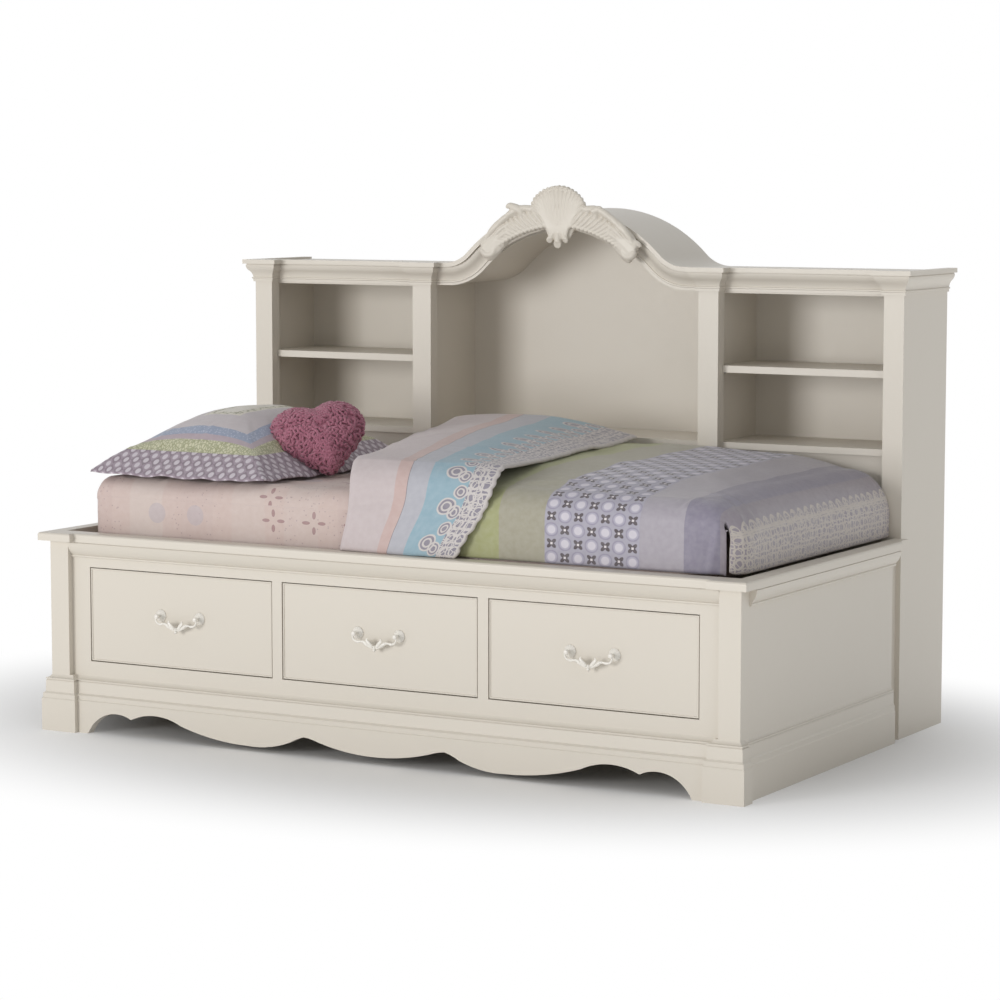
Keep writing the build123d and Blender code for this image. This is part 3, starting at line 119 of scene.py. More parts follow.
class Graph:
    """Short calls for the nodes that the finishes are made of."""

    def __init__(self, tree: bpy.types.NodeTree) -> None:
        self.tree = tree

    def feed(self, socket: bpy.types.NodeSocket, value: object) -> None:
        """Links a Value to a socket, or sets the socket to a hex colour, number or vector."""
        if isinstance(value, Value):
            self.tree.links.new(value.socket, socket)
        elif isinstance(value, str):
            socket.default_value = srgb(value)
        else:
            socket.default_value = value

    def node(self, kind: str, inputs: dict, output: int = 0, **settings: object) -> Value:
        """Adds one shader node.

        Args:
            kind: The node's type after "ShaderNode".
            inputs: Sockets by name or number, and what feeds them.
            output: Number of the output that is returned.
            settings: The node's own properties.

        Returns:
            The chosen output.
        """
        made = self.tree.nodes.new("ShaderNode" + kind)
        for key, setting in settings.items():
            setattr(made, key, setting)
        for key, value in inputs.items():
            self.feed(made.inputs[key], value)
        return Value(self, made.outputs[output])

    def math(self, operation: str, first: object, second: object = None) -> Value:
        """Adds a Math node."""
        inputs = {0: first} if second is None else {0: first, 1: second}
        return self.node("Math", inputs, operation=operation)

    def mix(self, share: object, first: object, second: object) -> Value:
        """Mixes two colours."""
        return self.node("Mix", {0: share, 6: first, 7: second}, 2, data_type="RGBA")

    def step(self, value: Value, low: float, high: float) -> Value:
        """Smooth rise from 0 at low to 1 at high."""
        return self.node("MapRange", {0: value, 1: low, 2: high}, interpolation_type="SMOOTHSTEP")

    def noise(self, place: Value, scale: float, detail: float = 2.0, output: int = 0) -> Value:
        """Even noise at a scale in turns per metre."""
        return self.node("TexNoise", {"Vector": place, "Scale": scale, "Detail": detail}, output)

    def cells(self, place: Value, scale: float, feature: str = "DISTANCE_TO_EDGE") -> Value:
        """Distance to the edges of random cells, or to their middles for F1."""
        return self.node("TexVoronoi", {"Vector": place, "Scale": scale}, 0, feature=feature)

    def chance(self, across: object, along: object) -> Value:
        """Random number from 0 to 1 for each pair of rows."""
        return self.node("TexWhiteNoise", {"Vector": self.vector(across, along)}, 0, noise_dimensions="2D")

    def vector(self, across: object, along: object, up: object = 0.0) -> Value:
        """Joins three values into a vector."""
        return self.node("CombineXYZ", {0: across, 1: along, 2: up})

    def split(self, vector: Value) -> list[Value]:
        """Takes a vector apart."""
        made = self.tree.nodes.new("ShaderNodeSeparateXYZ")
        self.feed(made.inputs[0], vector)
        return [Value(self, socket) for socket in made.outputs]

    def cloth(self) -> list[Value]:
        """Place on the flat cloth, in metres: across and along."""
        return self.split(self.node("UVMap", {}, uv_map=CLOTH_MAP))[:2]

    def place(self) -> Value:
        """Place in the object's own frame, in metres."""
        return self.node("TexCoord", {}, 3)

    def cell(self, value: Value, pitch: float) -> tuple[Value, Value]:
        """Splits a length into rows of one pitch: the row's number and the place in it, -0.5 to 0.5."""
        turns = value / pitch
        row = self.math("FLOOR", turns)
        return row, turns - row - 0.5

    def length(self, across: Value, along: Value) -> Value:
        """Distance from two sides."""
        return self.math("SQRT", across * across + along * along)

    def bands(self, value: Value, first: object, *stops: tuple[float, object]) -> Value:
        """Colour bands: the first colour, then each colour from its edge on."""
        colour = first
        for edge, following in stops:
            colour = self.mix(self.step(value, edge - 0.0007, edge + 0.0007), colour, following)
        return colour


def weave_group() -> bpy.types.NodeTree:
    """Height of a plain weave, from the place on the cloth and the thread's pitch."""
    tree = bpy.data.node_groups.new("plain_weave", "ShaderNodeTree")
    for name in ("Across", "Along", "Pitch"):
        tree.interface.new_socket(name, in_out="INPUT", socket_type="NodeSocketFloat")
    tree.interface.new_socket("Height", in_out="OUTPUT", socket_type="NodeSocketFloat")
    graph = Graph(tree)
    inputs = [Value(graph, s) for s in tree.nodes.new("NodeGroupInput").outputs]
    across = graph.math("SINE", inputs[0] / inputs[2] * HALF_TURN)
    along = graph.math("SINE", inputs[1] / inputs[2] * HALF_TURN)
    over = graph.math("SIGN", across * along)
    height = abs(across) * over - abs(along) * over
    graph.feed(tree.nodes.new("NodeGroupOutput").inputs[0], height)
    return tree


@dataclass
class Cloth:
    """What a cloth's painter gives back: colour, and optional roughness and raised work."""

    colour: object
    roughness: object = 0.86
    raised: object = None
    sheen: float = 0.22


class Finishes:
    """Every material of the scene, made once."""

    def __init__(self) -> None:
        self.weave = weave_group()
        self.paint = self.painted("cream_paint", "D3CCC0", 0.42)
        self.inner = self.painted("inner_paint", "D8CFBE", 0.6)
        self.enamel = self.painted("pull_enamel", "E9E5DD", 0.3, bump=0.00003)
        self.steel = self.metal("zinc_steel", "A9ABAE", 0.34)

    def start(self, name: str) -> tuple[bpy.types.Material, Graph, bpy.types.ShaderNode]:
        """Makes an empty material with its Principled shader."""
        material = bpy.data.materials.new(name)
        material.use_nodes = True
        return material, Graph(material.node_tree), material.node_tree.nodes["Principled BSDF"]

    def painted(self, name: str, colour: str, roughness: float, bump: float = 0.00006):
        """Satin lacquer: a little uneven in tone, with the faint ripple that a brush leaves."""
        material, graph, shader = self.start(name)
        place = graph.place()
        tone = graph.noise(place, 2.3, 3.0)
        ripple = graph.noise(place, 90.0, 2.0)
        base = graph.mix(tone * 0.10, colour, "BDB5A6")
        graph.feed(shader.inputs["Base Color"], base)
        graph.feed(shader.inputs["Roughness"], roughness + (ripple - 0.5) * 0.12)
        normal = graph.node("Bump", {"Strength": 0.5, "Distance": bump, "Height": ripple})
        graph.feed(shader.inputs["Normal"], normal)
        shader.inputs["Coat Weight"].default_value = 0.12
        shader.inputs["Coat Roughness"].default_value = 0.3
        return material

    def metal(self, name: str, colour: str, roughness: float):
        """Bare metal."""
        material, graph, shader = self.start(name)
        graph.feed(shader.inputs["Base Color"], colour)
        shader.inputs["Metallic"].default_value = 1.0
        shader.inputs["Roughness"].default_value = roughness
        return material

    def fabric(self, name: str, painter: Callable[[Graph, Value, Value], Cloth], pitch: float = 0.0009):
        """Woven cloth whose print is drawn by painter on the cloth's own flat places."""
        material, graph, shader = self.start(name)
        across, along = graph.cloth()
        cloth = painter(graph, across, along)
        group = graph.tree.nodes.new("ShaderNodeGroup")
        group.node_tree = self.weave
        for key, value in (("Across", across), ("Along", along), ("Pitch", pitch)):
            graph.feed(group.inputs[key], value)
        flat = graph.vector(across, along)
        fuzz = graph.noise(flat, 60.0, 3.0)
        height = Value(graph, group.outputs[0]) * 0.00012 + fuzz * 0.0004
        if cloth.raised is not None:
            height = height + cloth.raised
        shade = graph.mix(fuzz * 0.16, cloth.colour, "FFFFFF")
        graph.feed(shader.inputs["Base Color"], shade)
        graph.feed(shader.inputs["Roughness"], cloth.roughness)
        graph.feed(shader.inputs["Normal"],
                   graph.node("Bump", {"Strength": 0.55, "Distance": 1.0, "Height": height}))
        shader.inputs["Sheen Weight"].default_value = cloth.sheen
        shader.inputs["Sheen Roughness"].default_value = 0.45
        return material


@dataclass
class Shape:
    """Points and faces of a surface, with the place of each point on its flat cloth."""

    points: Array
    faces: list
    flat: Array | None = None

    @staticmethod
    def joined(shapes: list["Shape"]) -> "Shape":
        """Puts several shapes into one."""
        faces, start = [], 0
        for shape in shapes:
            faces += [[corner + start for corner in face] for face in shape.faces]
            start += len(shape.points)
        return Shape(np.concatenate([s.points for s in shapes]), faces)


def grid_faces(rows: int, columns: int, round_columns: bool = False) -> Array:
    """Quads of a grid whose outward side is rows crossed with columns."""
    count = columns if round_columns else columns - 1
    row, column = np.meshgrid(np.arange(rows - 1), np.arange(count), indexing="ij")
    after = (column + 1) % columns
    corners = (row * columns + column, (row + 1) * columns + column,
               (row + 1) * columns + after, row * columns + after)
    return np.stack(corners, -1).reshape(-1, 4)


def place_object(name: str, data: bpy.types.ID) -> bpy.types.Object:
    """Makes an object of some data and links it to the scene."""
    placed = bpy.data.objects.new(name, data)
    bpy.context.scene.collection.objects.link(placed)
    return placed


def add_piece(name: str, shape: Shape, finish: bpy.types.Material, body: str = "daybed") -> bpy.types.Object:
    """Makes a smooth mesh object with its faces outward, riding on a body."""
    mesh = bpy.data.meshes.new(name)
    mesh.from_pydata(shape.points.tolist(), [], shape.faces)
    if shape.flat is not None:
        corners = np.empty(len(mesh.loops), np.int32)
        mesh.loops.foreach_get("vertex_index", corners)
        layer = mesh.uv_layers.new(name=CLOTH_MAP)
        layer.data.foreach_set("uv", shape.flat[corners].astype(np.float32).ravel())
    mesh.validate()
    mesh.shade_smooth()
    mesh.materials.append(finish)
    piece = place_object(name, mesh)
    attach(piece, body)
    return piece


def waves(across: Array, along: Array, seed: int, short: float, long: float, height: float) -> Array:
    """Soft uneven relief: a sum of sines in seeded directions, the longer ones taller."""
    rng = np.random.default_rng(seed)
    total = np.zeros(np.broadcast(across, along).shape)
    for length in np.geomspace(short, long, 16):
        turn, phase = rng.uniform(0, 2 * math.pi, 2)
        slope = across * math.cos(turn) + along * math.sin(turn)
        total += (length / long) ** 0.8 * np.sin(2 * math.pi * slope / length + phase)
    return total * height / np.abs(total).max()


def creases(across: Array, along: Array, marks: tuple, depth: float) -> Array:
    """Pinched folds. Each mark is a middle, a half length, a half width and a turn in degrees."""
    total = np.zeros(np.broadcast(across, along).shape)
    for x, y, half, width, turn in marks:
        angle = math.radians(turn)
        run = (across - x) * math.cos(angle) + (along - y) * math.sin(angle)
        side = (along - y) * math.cos(angle) - (across - x) * math.sin(angle)
        fade = np.exp(-((run / half) ** 4))
        crest = np.exp(-((side / width) ** 2))
        valley = np.exp(-(((side - 1.7 * width) / width) ** 2))
        total += fade * (crest - 0.6 * valley)
    return total * depth


def stations(stops: list[float], step: float, rim: float) -> Array:
    """Places along a line through every stop, closer together beside each stop."""
    ease = rim * (1 - np.cos(np.linspace(0, QUARTER, 7)))
    parts = []
    for start, end in zip(stops, stops[1:]):
        middle = np.linspace(start + rim, end - rim, max(2, int((end - start - 2 * rim) / step)))
        parts += [start + ease[:-1], middle, end - ease[:-1]]
    return np.unique(np.round(np.concatenate(parts), 6))


def rounding(distance: Array, radius: Array | float) -> Array:
    """Fullness beside a rounded rim: 0 at the rim, along a quarter circle, and 1 past the radius."""
    return np.sqrt(np.maximum(1 - (1 - np.clip(distance / radius, 0, 1)) ** 2, 0))


def ease(share: Array) -> Array:
    """Smooth rise from 0 to 1 for a share from 0 to 1."""
    return share * share * (3 - 2 * share)


def normals(surface: Array) -> Array:
    """Outward direction at each point of a grid, rows crossed with columns."""
    side = np.cross(np.gradient(surface, axis=0), np.gradient(surface, axis=1))
    return side / np.maximum(np.linalg.norm(side, axis=-1, keepdims=True), 1e-12)


def padded_sheet(outer: Array, thickness: Array, full: Array, flat: Array,
                 keep: Array | None = None) -> Shape:
    """Closes a padded cloth: the outer grid, the same grid sunk by its thickness, and a round rim.

    Args:
        outer: Grid of outer points.
        thickness: How far the inner side lies below each outer point.
        full: 0 on the rim and 1 away from it; both sides meet halfway where it is 0.
        flat: Place of each point on the flat cloth.
        keep: Which points belong to the cloth, where it has a corner cut out.

    Returns:
        The closed shape.
    """
    rows, columns = outer.shape[:2]
    out = normals(outer)
    half = (thickness / 2)[..., None]
    upper = outer - out * half * (1 - full[..., None])
    lower = outer - out * half * (1 + full[..., None])
    faces = grid_faces(rows, columns)
    if keep is not None:
        faces = faces[keep.ravel()[faces].all(axis=1)]
    count = rows * columns
    partner = np.arange(count) + count
    shut = full.ravel() <= 0
    partner[shut] = np.arange(count)[shut]
    every = np.concatenate([faces, partner[faces][:, ::-1]])
    used, again = np.unique(every, return_inverse=True)
    points = np.concatenate([upper.reshape(-1, 3), lower.reshape(-1, 3)])[used]
    places = np.tile(flat.reshape(-1, 2), (2, 1))[used]
    return Shape(points, again.reshape(-1, 4).tolist(), places)


def capped(grid: Array, first: Array, last: Array, flat: Array | None = None) -> Shape:
    """Shape of a grid that is round in its columns, closed at each end by a fan to one point."""
    rows, count = grid.shape[:2]
    start, end, base = rows * count, rows * count + 1, (rows - 1) * count
    faces = grid_faces(rows, count, True).tolist()
    faces += [[start, (i + 1) % count, i] for i in range(count)]
    faces += [[end, base + i, base + (i + 1) % count] for i in range(count)]
    return Shape(np.concatenate([grid.reshape(-1, 3), [first], [last]]), faces, flat)


def swept(path: Array, wide: Array, deep: Array, sides: int, front: Array) -> Shape:
    """Closed bar along a path. Its section is an oval, wide across the path and deep towards front."""
    path = np.asarray(path, float)
    along = np.gradient(path, axis=0)
    along /= np.maximum(np.linalg.norm(along, axis=1, keepdims=True), 1e-12)
    side = np.cross(along, front)
    side /= np.maximum(np.linalg.norm(side, axis=1, keepdims=True), 1e-12)
    depth = np.cross(side, along)
    turn = np.linspace(0, 2 * math.pi, sides, endpoint=False)
    ring = (np.cos(turn)[None, :, None] * (side * np.reshape(wide, (-1, 1)))[:, None]
            + np.sin(turn)[None, :, None] * (depth * np.reshape(deep, (-1, 1)))[:, None])
    return capped(path[:, None] + ring, path[0], path[-1])


def curve(knots: list, count: int) -> Array:
    """Smooth line through knots, by Catmull-Rom spans."""
    knots = np.asarray(knots, float)
    ends = np.concatenate([[2 * knots[0] - knots[1]], knots, [2 * knots[-1] - knots[-2]]])
    place = np.linspace(0, len(knots) - 1, count)
    span = np.minimum(place.astype(int), len(knots) - 2)
    t = (place - span)[:, None]
    a, b, c, d = (ends[span + i] for i in range(4))
    square, cube = 2 * a - 5 * b + 4 * c - d, 3 * b - a - 3 * c + d
    return 0.5 * (2 * b + (c - a) * t + square * t ** 2 + cube * t ** 3)


def turned(profile: list, sides: int, lobes: int = 0, lobe_depth: float = 0.0) -> Shape:
    """Turned piece about the front-to-back line: profile gives reach to the front and radius."""
    reach, radius = np.asarray(profile, float).T
    turn = np.linspace(0, 2 * math.pi, sides, endpoint=False)
    petal = 1 + lobe_depth * np.abs(np.cos(turn * lobes / 2)) if lobes else np.ones(sides)
    ring = radius[:, None] * petal
    points = np.stack([ring * np.cos(turn), -np.repeat(reach[:, None], sides, 1), ring * np.sin(turn)], -1)
    return capped(points, np.array([0, -reach[0], 0]), np.array([0, -reach[-1], 0]))


def recalculated(piece: bpy.types.Object) -> bpy.types.Object:
    """Turns every face outward."""
    work = bmesh.new()
    work.from_mesh(piece.data)
    bmesh.ops.recalc_face_normals(work, faces=work.faces)
    work.to_mesh(piece.data)
    work.free()
    return piece


@dataclass
class Joinery:
    """Finishes of the parts that keep their own shape."""

    inner: tuple = ("drawer_box", "bed_slats", "slat_ledgers", "drawer_runners", "rear_rail", "drawer_cross")
    steel: tuple = ("joining_bolts", "shelf_pins", "drawer_tracks")

    def kind(self, name: str) -> Kind:
        """Which finish a part has."""
        if name.startswith(self.inner):
            return Kind.INNER
        if name.startswith(self.steel):
            return Kind.STEEL
        return Kind.PULL if name.startswith("pull_") else Kind.PAINT

    def build(self, finishes: Finishes) -> None:
        """Gives every such part its finish."""
        by_kind = {Kind.PAINT: finishes.paint, Kind.INNER: finishes.inner,
                   Kind.STEEL: finishes.steel, Kind.PULL: finishes.enamel}
        for name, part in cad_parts.items():
            finish = by_kind[self.kind(name)]
            for index in range(len(part.data.materials)):
                part.data.materials[index] = finish
            if not part.data.materials:
                part.data.materials.append(finish)


def over_edge(distance: Array, radius: float) -> tuple[Array, Array, Array]:
    """Cloth that runs over a rounded edge.

    Args:
        distance: Length of cloth past the start of the rounding; below 0 it is still on top.
        radius: Radius of the rounding.

    Returns:
        The angle turned, the reach outward and the straight fall below the rounding.
    """
    angle = np.clip(distance / radius, 0, QUARTER)
    reach = np.where(distance < 0, distance, radius * np.sin(angle))
    return angle, reach, np.maximum(distance - radius * QUARTER, 0)


def motif(graph: Graph, across: Value, along: Value, pitch_across: float, pitch_along: float):
    """Draws the duvet's print: pale dots with a halo, and dark four-petal flowers between them."""
    row, p = graph.cell(across, pitch_across)
    line, q = graph.cell(along, pitch_along)
    odd = graph.math("PINGPONG", row + line, 1.0) > 0.5
    reach = graph.length(p, q)
    long_side, short_side = graph.math("MAXIMUM", abs(p), abs(q)), graph.math("MINIMUM", abs(p), abs(q))
    turned_long, turned_short = (abs(p + q) * 0.7071, abs(p - q) * 0.7071)
    far = graph.math("MAXIMUM", turned_long, turned_short) - 0.23
    near = graph.math("MINIMUM", turned_long, turned_short)
    petal = graph.length(far * 0.8, near * 1.25) < 0.165
    eye = graph.math("MAXIMUM", long_side, short_side) < 0.085
    ground = "A29EAC"
    dotted = graph.mix(graph.step(reach, 0.50, 0.54), "8D889C", ground)
    dotted = graph.mix(graph.step(reach, 0.40, 0.44), "A8A3B4", dotted)
    dotted = graph.mix(graph.step(reach, 0.27, 0.33), "CBC6CF", dotted)
    flower = graph.mix(petal, ground, "3F3038")
    flower = graph.mix(eye, flower, "DDD6D8")
    return graph.mix(odd, dotted, flower)


def lace(graph: Graph, across: Value, along: Value, pitch: float) -> Value:
    """Mask of a lace net: looped cords in two layers, from the distance to the edge and the run."""
    flat = graph.vector(across, along)
    wobble = graph.split(graph.noise(flat, 55.0, 2.0, 1))
    x = across + (wobble[0] - 0.5) * 0.012
    y = along + (wobble[1] - 0.5) * 0.012
    _, p = graph.cell(y, pitch)
    _, q = graph.cell(x, pitch * 0.9)
    _, r = graph.cell(y + pitch / 2, pitch)
    _, s = graph.cell(x + pitch * 0.45, pitch * 0.9)
    ring = abs(graph.length(p, q) - 0.36) < 0.07
    other = abs(graph.length(r, s) - 0.22) < 0.055
    cords = graph.cells(flat, 62.0) < 0.06
    return ring | other | cords


@dataclass
class Mattress:
    """Mattress in its printed sheet, rounded at every edge, with a few creases on the front."""

    corner: float = 0.05
    step: float = 0.011
    covered_end: float = 0.075

    def print(self, graph: Graph, across: Value, along: Value) -> Cloth:
        """Dusty pink bands, specks in some of them, pale discs and small four-petal flowers."""
        band, local = graph.cell(across + 0.02, 0.165)
        tint = graph.chance(band, 3.0)
        base = graph.mix(tint, "CBBBB3", "C3ABA4")
        base = graph.mix(graph.step(abs(local), 0.30, 0.34), base, "C8B3AB")
        flat = graph.vector(across, along)
        dots = graph.cells(flat, 84.0, "F1") < 0.17
        base = graph.mix(dots & (tint > 0.35) & 0.5, base, "8E6E78")
        row, p = graph.cell(along + 0.030, 0.105)
        column, q = graph.cell(across + 0.05 + row * 0.062, 0.125)
        chance = graph.chance(column, row)
        disc = (graph.length(p, q * 1.19) < 0.26) & (chance < 0.26)
        base = graph.mix(disc & 0.6, base, "B3A8AE")
        far = graph.math("MAXIMUM", abs(p), abs(q)) - 0.19
        near = graph.math("MINIMUM", abs(p), abs(q))
        petal = graph.length(far, near * 2.1) < 0.095
        flowers = petal & (chance > 0.66)
        base = graph.mix(flowers & 0.75, base, "8C5F62")
        return Cloth(base, 0.8, None, 0.2)

    def build(self, finishes: Finishes) -> None:
        """Sections round the mattress, scaled down over each rounded end, with a point at each end."""
        low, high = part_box("mattress")
        middle, half = (low + high) / 2, (high - low) / 2
        top, bottom = self.corner, self.corner * 0.5
        loop = []
        for cy, cz, radius, start in ((-half.y, half.z, top, 180), (half.y, half.z, top, 90),
                                      (half.y, -half.z, bottom, 0), (-half.y, -half.z, bottom, -90)):
            turn = np.radians(np.linspace(start, start - 90, 9))
            loop.append(np.stack([cy - math.copysign(radius, cy) + radius * np.cos(turn),
                                  cz - math.copysign(radius, cz) + radius * np.sin(turn)], -1))
        corners = np.concatenate(loop + [loop[0][:1]])
        length = np.concatenate([[0], np.cumsum(np.linalg.norm(np.diff(corners, axis=0), axis=1))])
        run = np.unique(np.concatenate([length[:-1], np.arange(0, length[-1] - 0.004, self.step)]))
        ring = np.stack([np.interp(run, length, corners[:, 0]), np.interp(run, length, corners[:, 1])], -1)
        end = high.x - self.covered_end
        x = stations([low.x, end], self.step, self.corner)
        inset = self.corner * (1 - rounding(np.minimum(x - low.x, end - x), self.corner))
        scale = np.stack([1 - inset / half.y, 1 - inset / half.z], -1)
        section = ring[None] * scale[:, None]
        surface = np.stack([np.repeat(x[:, None], len(run), 1), middle.y + section[..., 0],
                            middle.z + section[..., 1]], -1)
        across, along = np.broadcast_arrays(x[:, None], run[None])
        marks = ((-0.70, 0.10, 0.06, 0.006, 62), (-0.42, 0.12, 0.09, 0.007, 48),
                 (-0.30, 0.10, 0.08, 0.006, 40), (-0.86, 0.09, 0.06, 0.005, 75),
                 (-0.20, 0.12, 0.07, 0.007, 55), (-0.55, 0.09, 0.04, 0.004, 50))
        relief = waves(across, along, 7, 0.05, 0.45, 0.0040) + creases(across, along, marks, 0.0055)
        outward = normals(surface)
        outward[[0, -1]] = 0
        surface = surface + outward * (relief - 0.002)[..., None]
        flat = np.concatenate([np.stack([across, along], -1).reshape(-1, 2), [[x[0], 0], [x[-1], 0]]])
        finish = finishes.fabric("sheet_cotton", self.print)
        shape = capped(surface, [x[0], middle.y, middle.z], [x[-1], middle.y, middle.z], flat)
        piece = recalculated(add_piece("mattress_sheet", shape, finish))
        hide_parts("mattress")


@dataclass
class Duvet:
    """Quilted cover over the bed's right half. Its front panel and end panel part at the corner."""

    end_radius: float = 0.125
    front_radius: float = 0.075
    front_top: float = 0.724
    hem: float = 0.5415
    rise: float = 0.044
    start: float = 0.02
    drop_thickness: float = 0.015
    top_thickness: float = 0.035
    cut_share: float = 0.55
    step: float = 0.0095

    def print(self, graph: Graph, across: Value, along: Value) -> Cloth:
        """Bands across the bed: green, khaki, the dotted print, satin mauve, lavender, the same satin mauve
        painted darker on the end face as painted shade, and end lace.
        """
        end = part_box("duvet")[1].x - self.start - self.end_radius
        x = across + self.start
        dotted = motif(graph, x - 0.466, along, 0.0378, 0.0345)
        # The last stop is the satin mauve cloth painted about 15% darker from partway round the end rounding
        # down the end face: painted shade, not a different cloth.
        colour = graph.bands(x, "9A9C69", (0.335, "9B9682"), (0.466, dotted), (0.7306, "9A939D"),
                             (0.851, "777084"), (end + self.start + 0.075, "857B85"))
        drop = across - end
        loops = graph.math("POWER", abs(graph.math("SINE", along / 0.040 * HALF_TURN)), 0.6) * 0.026
        edge = drop + loops - 0.150
        net = edge > 0.0
        cord = abs(edge) < 0.0022
        second = abs(drop - 0.152) < 0.0026
        mask = (net & (lace(graph, drop, along, 0.034) | second)) | cord
        colour = graph.mix(mask & 0.85, colour, "C4BBB0")
        satin = graph.step(x, 0.730, 0.732)
        roughness = 0.8 - satin * 0.40 + mask * 0.35
        return Cloth(colour, roughness, mask * 0.0009, 0.3)

    def build(self, finishes: Finishes) -> None:
        """Top, front and end as one cloth over two rounded edges, with the corner square cut out."""
        low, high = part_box("duvet")
        radius_s, radius_t = self.end_radius, self.front_radius
        edge_x, edge_y = high.x - radius_s, low.y + radius_t
        hang_s = self.front_top - radius_s - self.hem
        hang_t = self.front_top - radius_t - self.hem
        end_s = edge_x - self.start
        edge_t = hang_t + radius_t * QUARTER
        cut_s = end_s + radius_s * QUARTER * self.cut_share
        cut_t = edge_t - radius_t * QUARTER * self.cut_share
        total_s = end_s + radius_s * QUARTER + hang_s
        total_t = edge_t + high.y - edge_y
        s = stations([0.0, cut_s, total_s], self.step, 0.02)[:, None]
        t = stations([0.0, cut_t, total_t], self.step, 0.02)[None]
        s, t = np.broadcast_arrays(s, t)
        turn_s, reach_s, fall_s = over_edge(s - end_s, radius_s)
        turn_t, reach_t, fall_t = over_edge(edge_t - t, radius_t)
        inland, aside = np.maximum(-reach_t, 0), np.maximum(-reach_s, 0)
        swell = (1 - np.exp(-inland / 0.13)) * (1 - np.exp(-(aside + 0.02) / 0.16))
        level = (1 - np.clip(fall_s / max(hang_s, 0.01), 0, 1)) * self.rise * swell
        share = np.clip(2 * turn_s / (turn_s + turn_t + 1e-9) - 0.5, 0, 1)
        share = ease(share)[..., None]
        sin_s, sin_t, cos_s, cos_t = np.sin(turn_s), np.sin(turn_t), np.cos(turn_s), np.cos(turn_t)
        front_way = np.stack([sin_s, sin_t * cos_s, cos_t * cos_s], -1)
        end_way = np.stack([sin_s * cos_t, sin_t, cos_s * cos_t], -1)
        way = front_way + (end_way - front_way) * share
        radius = radius_t + (radius_s - radius_t) * share[..., 0]
        surface = np.stack([
            edge_x + np.minimum(reach_s, 0) + radius_s * way[..., 0],
            edge_y - np.minimum(reach_t, 0) - radius_t * way[..., 1],
            self.front_top + level - fall_s - fall_t - radius * (1 - way[..., 2]),
        ], -1)
        upright = np.maximum(turn_s, turn_t) / QUARTER
        marks = ((end_s + 0.09, cut_t + 0.07, 0.08, 0.009, -20),
                 (end_s + 0.06, cut_t + 0.13, 0.09, 0.010, -12),
                 (end_s - 0.02, edge_t - 0.03, 0.06, 0.008, 70),
                 (cut_s - 0.05, cut_t - 0.09, 0.06, 0.008, 80),
                 (cut_s - 0.11, cut_t - 0.06, 0.05, 0.008, 100),
                 (0.42, edge_t + 0.05, 0.10, 0.012, 15))
        relief = (waves(s, t, 11, 0.09, 0.5, 0.0050) * (1 - 0.5 * upright)
                  + waves(s, t, 12, 0.03, 0.09, 0.0007) + creases(s, t, marks, 0.005))
        surface = surface + normals(surface) * (relief - 0.003)[..., None]
        beside = np.where(s > cut_s, t - cut_t, np.hypot(cut_s - s, t - cut_t))
        corner = np.where(t < cut_t, cut_s - s, beside)
        rim = np.minimum.reduce([s, total_s - s, t, total_t - t, np.maximum(corner, 0)])
        keep = ~((s > cut_s + 1e-6) & (t < cut_t - 1e-6))
        thickness = self.top_thickness + (self.drop_thickness - self.top_thickness) * upright
        shape = padded_sheet(surface, thickness, rounding(np.where(keep, rim, 1.0), thickness / 2),
                             np.stack([s, t], -1), keep)
        piece = add_piece("duvet_cover", shape, finishes.fabric("duvet_print", self.print))
        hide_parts("duvet")


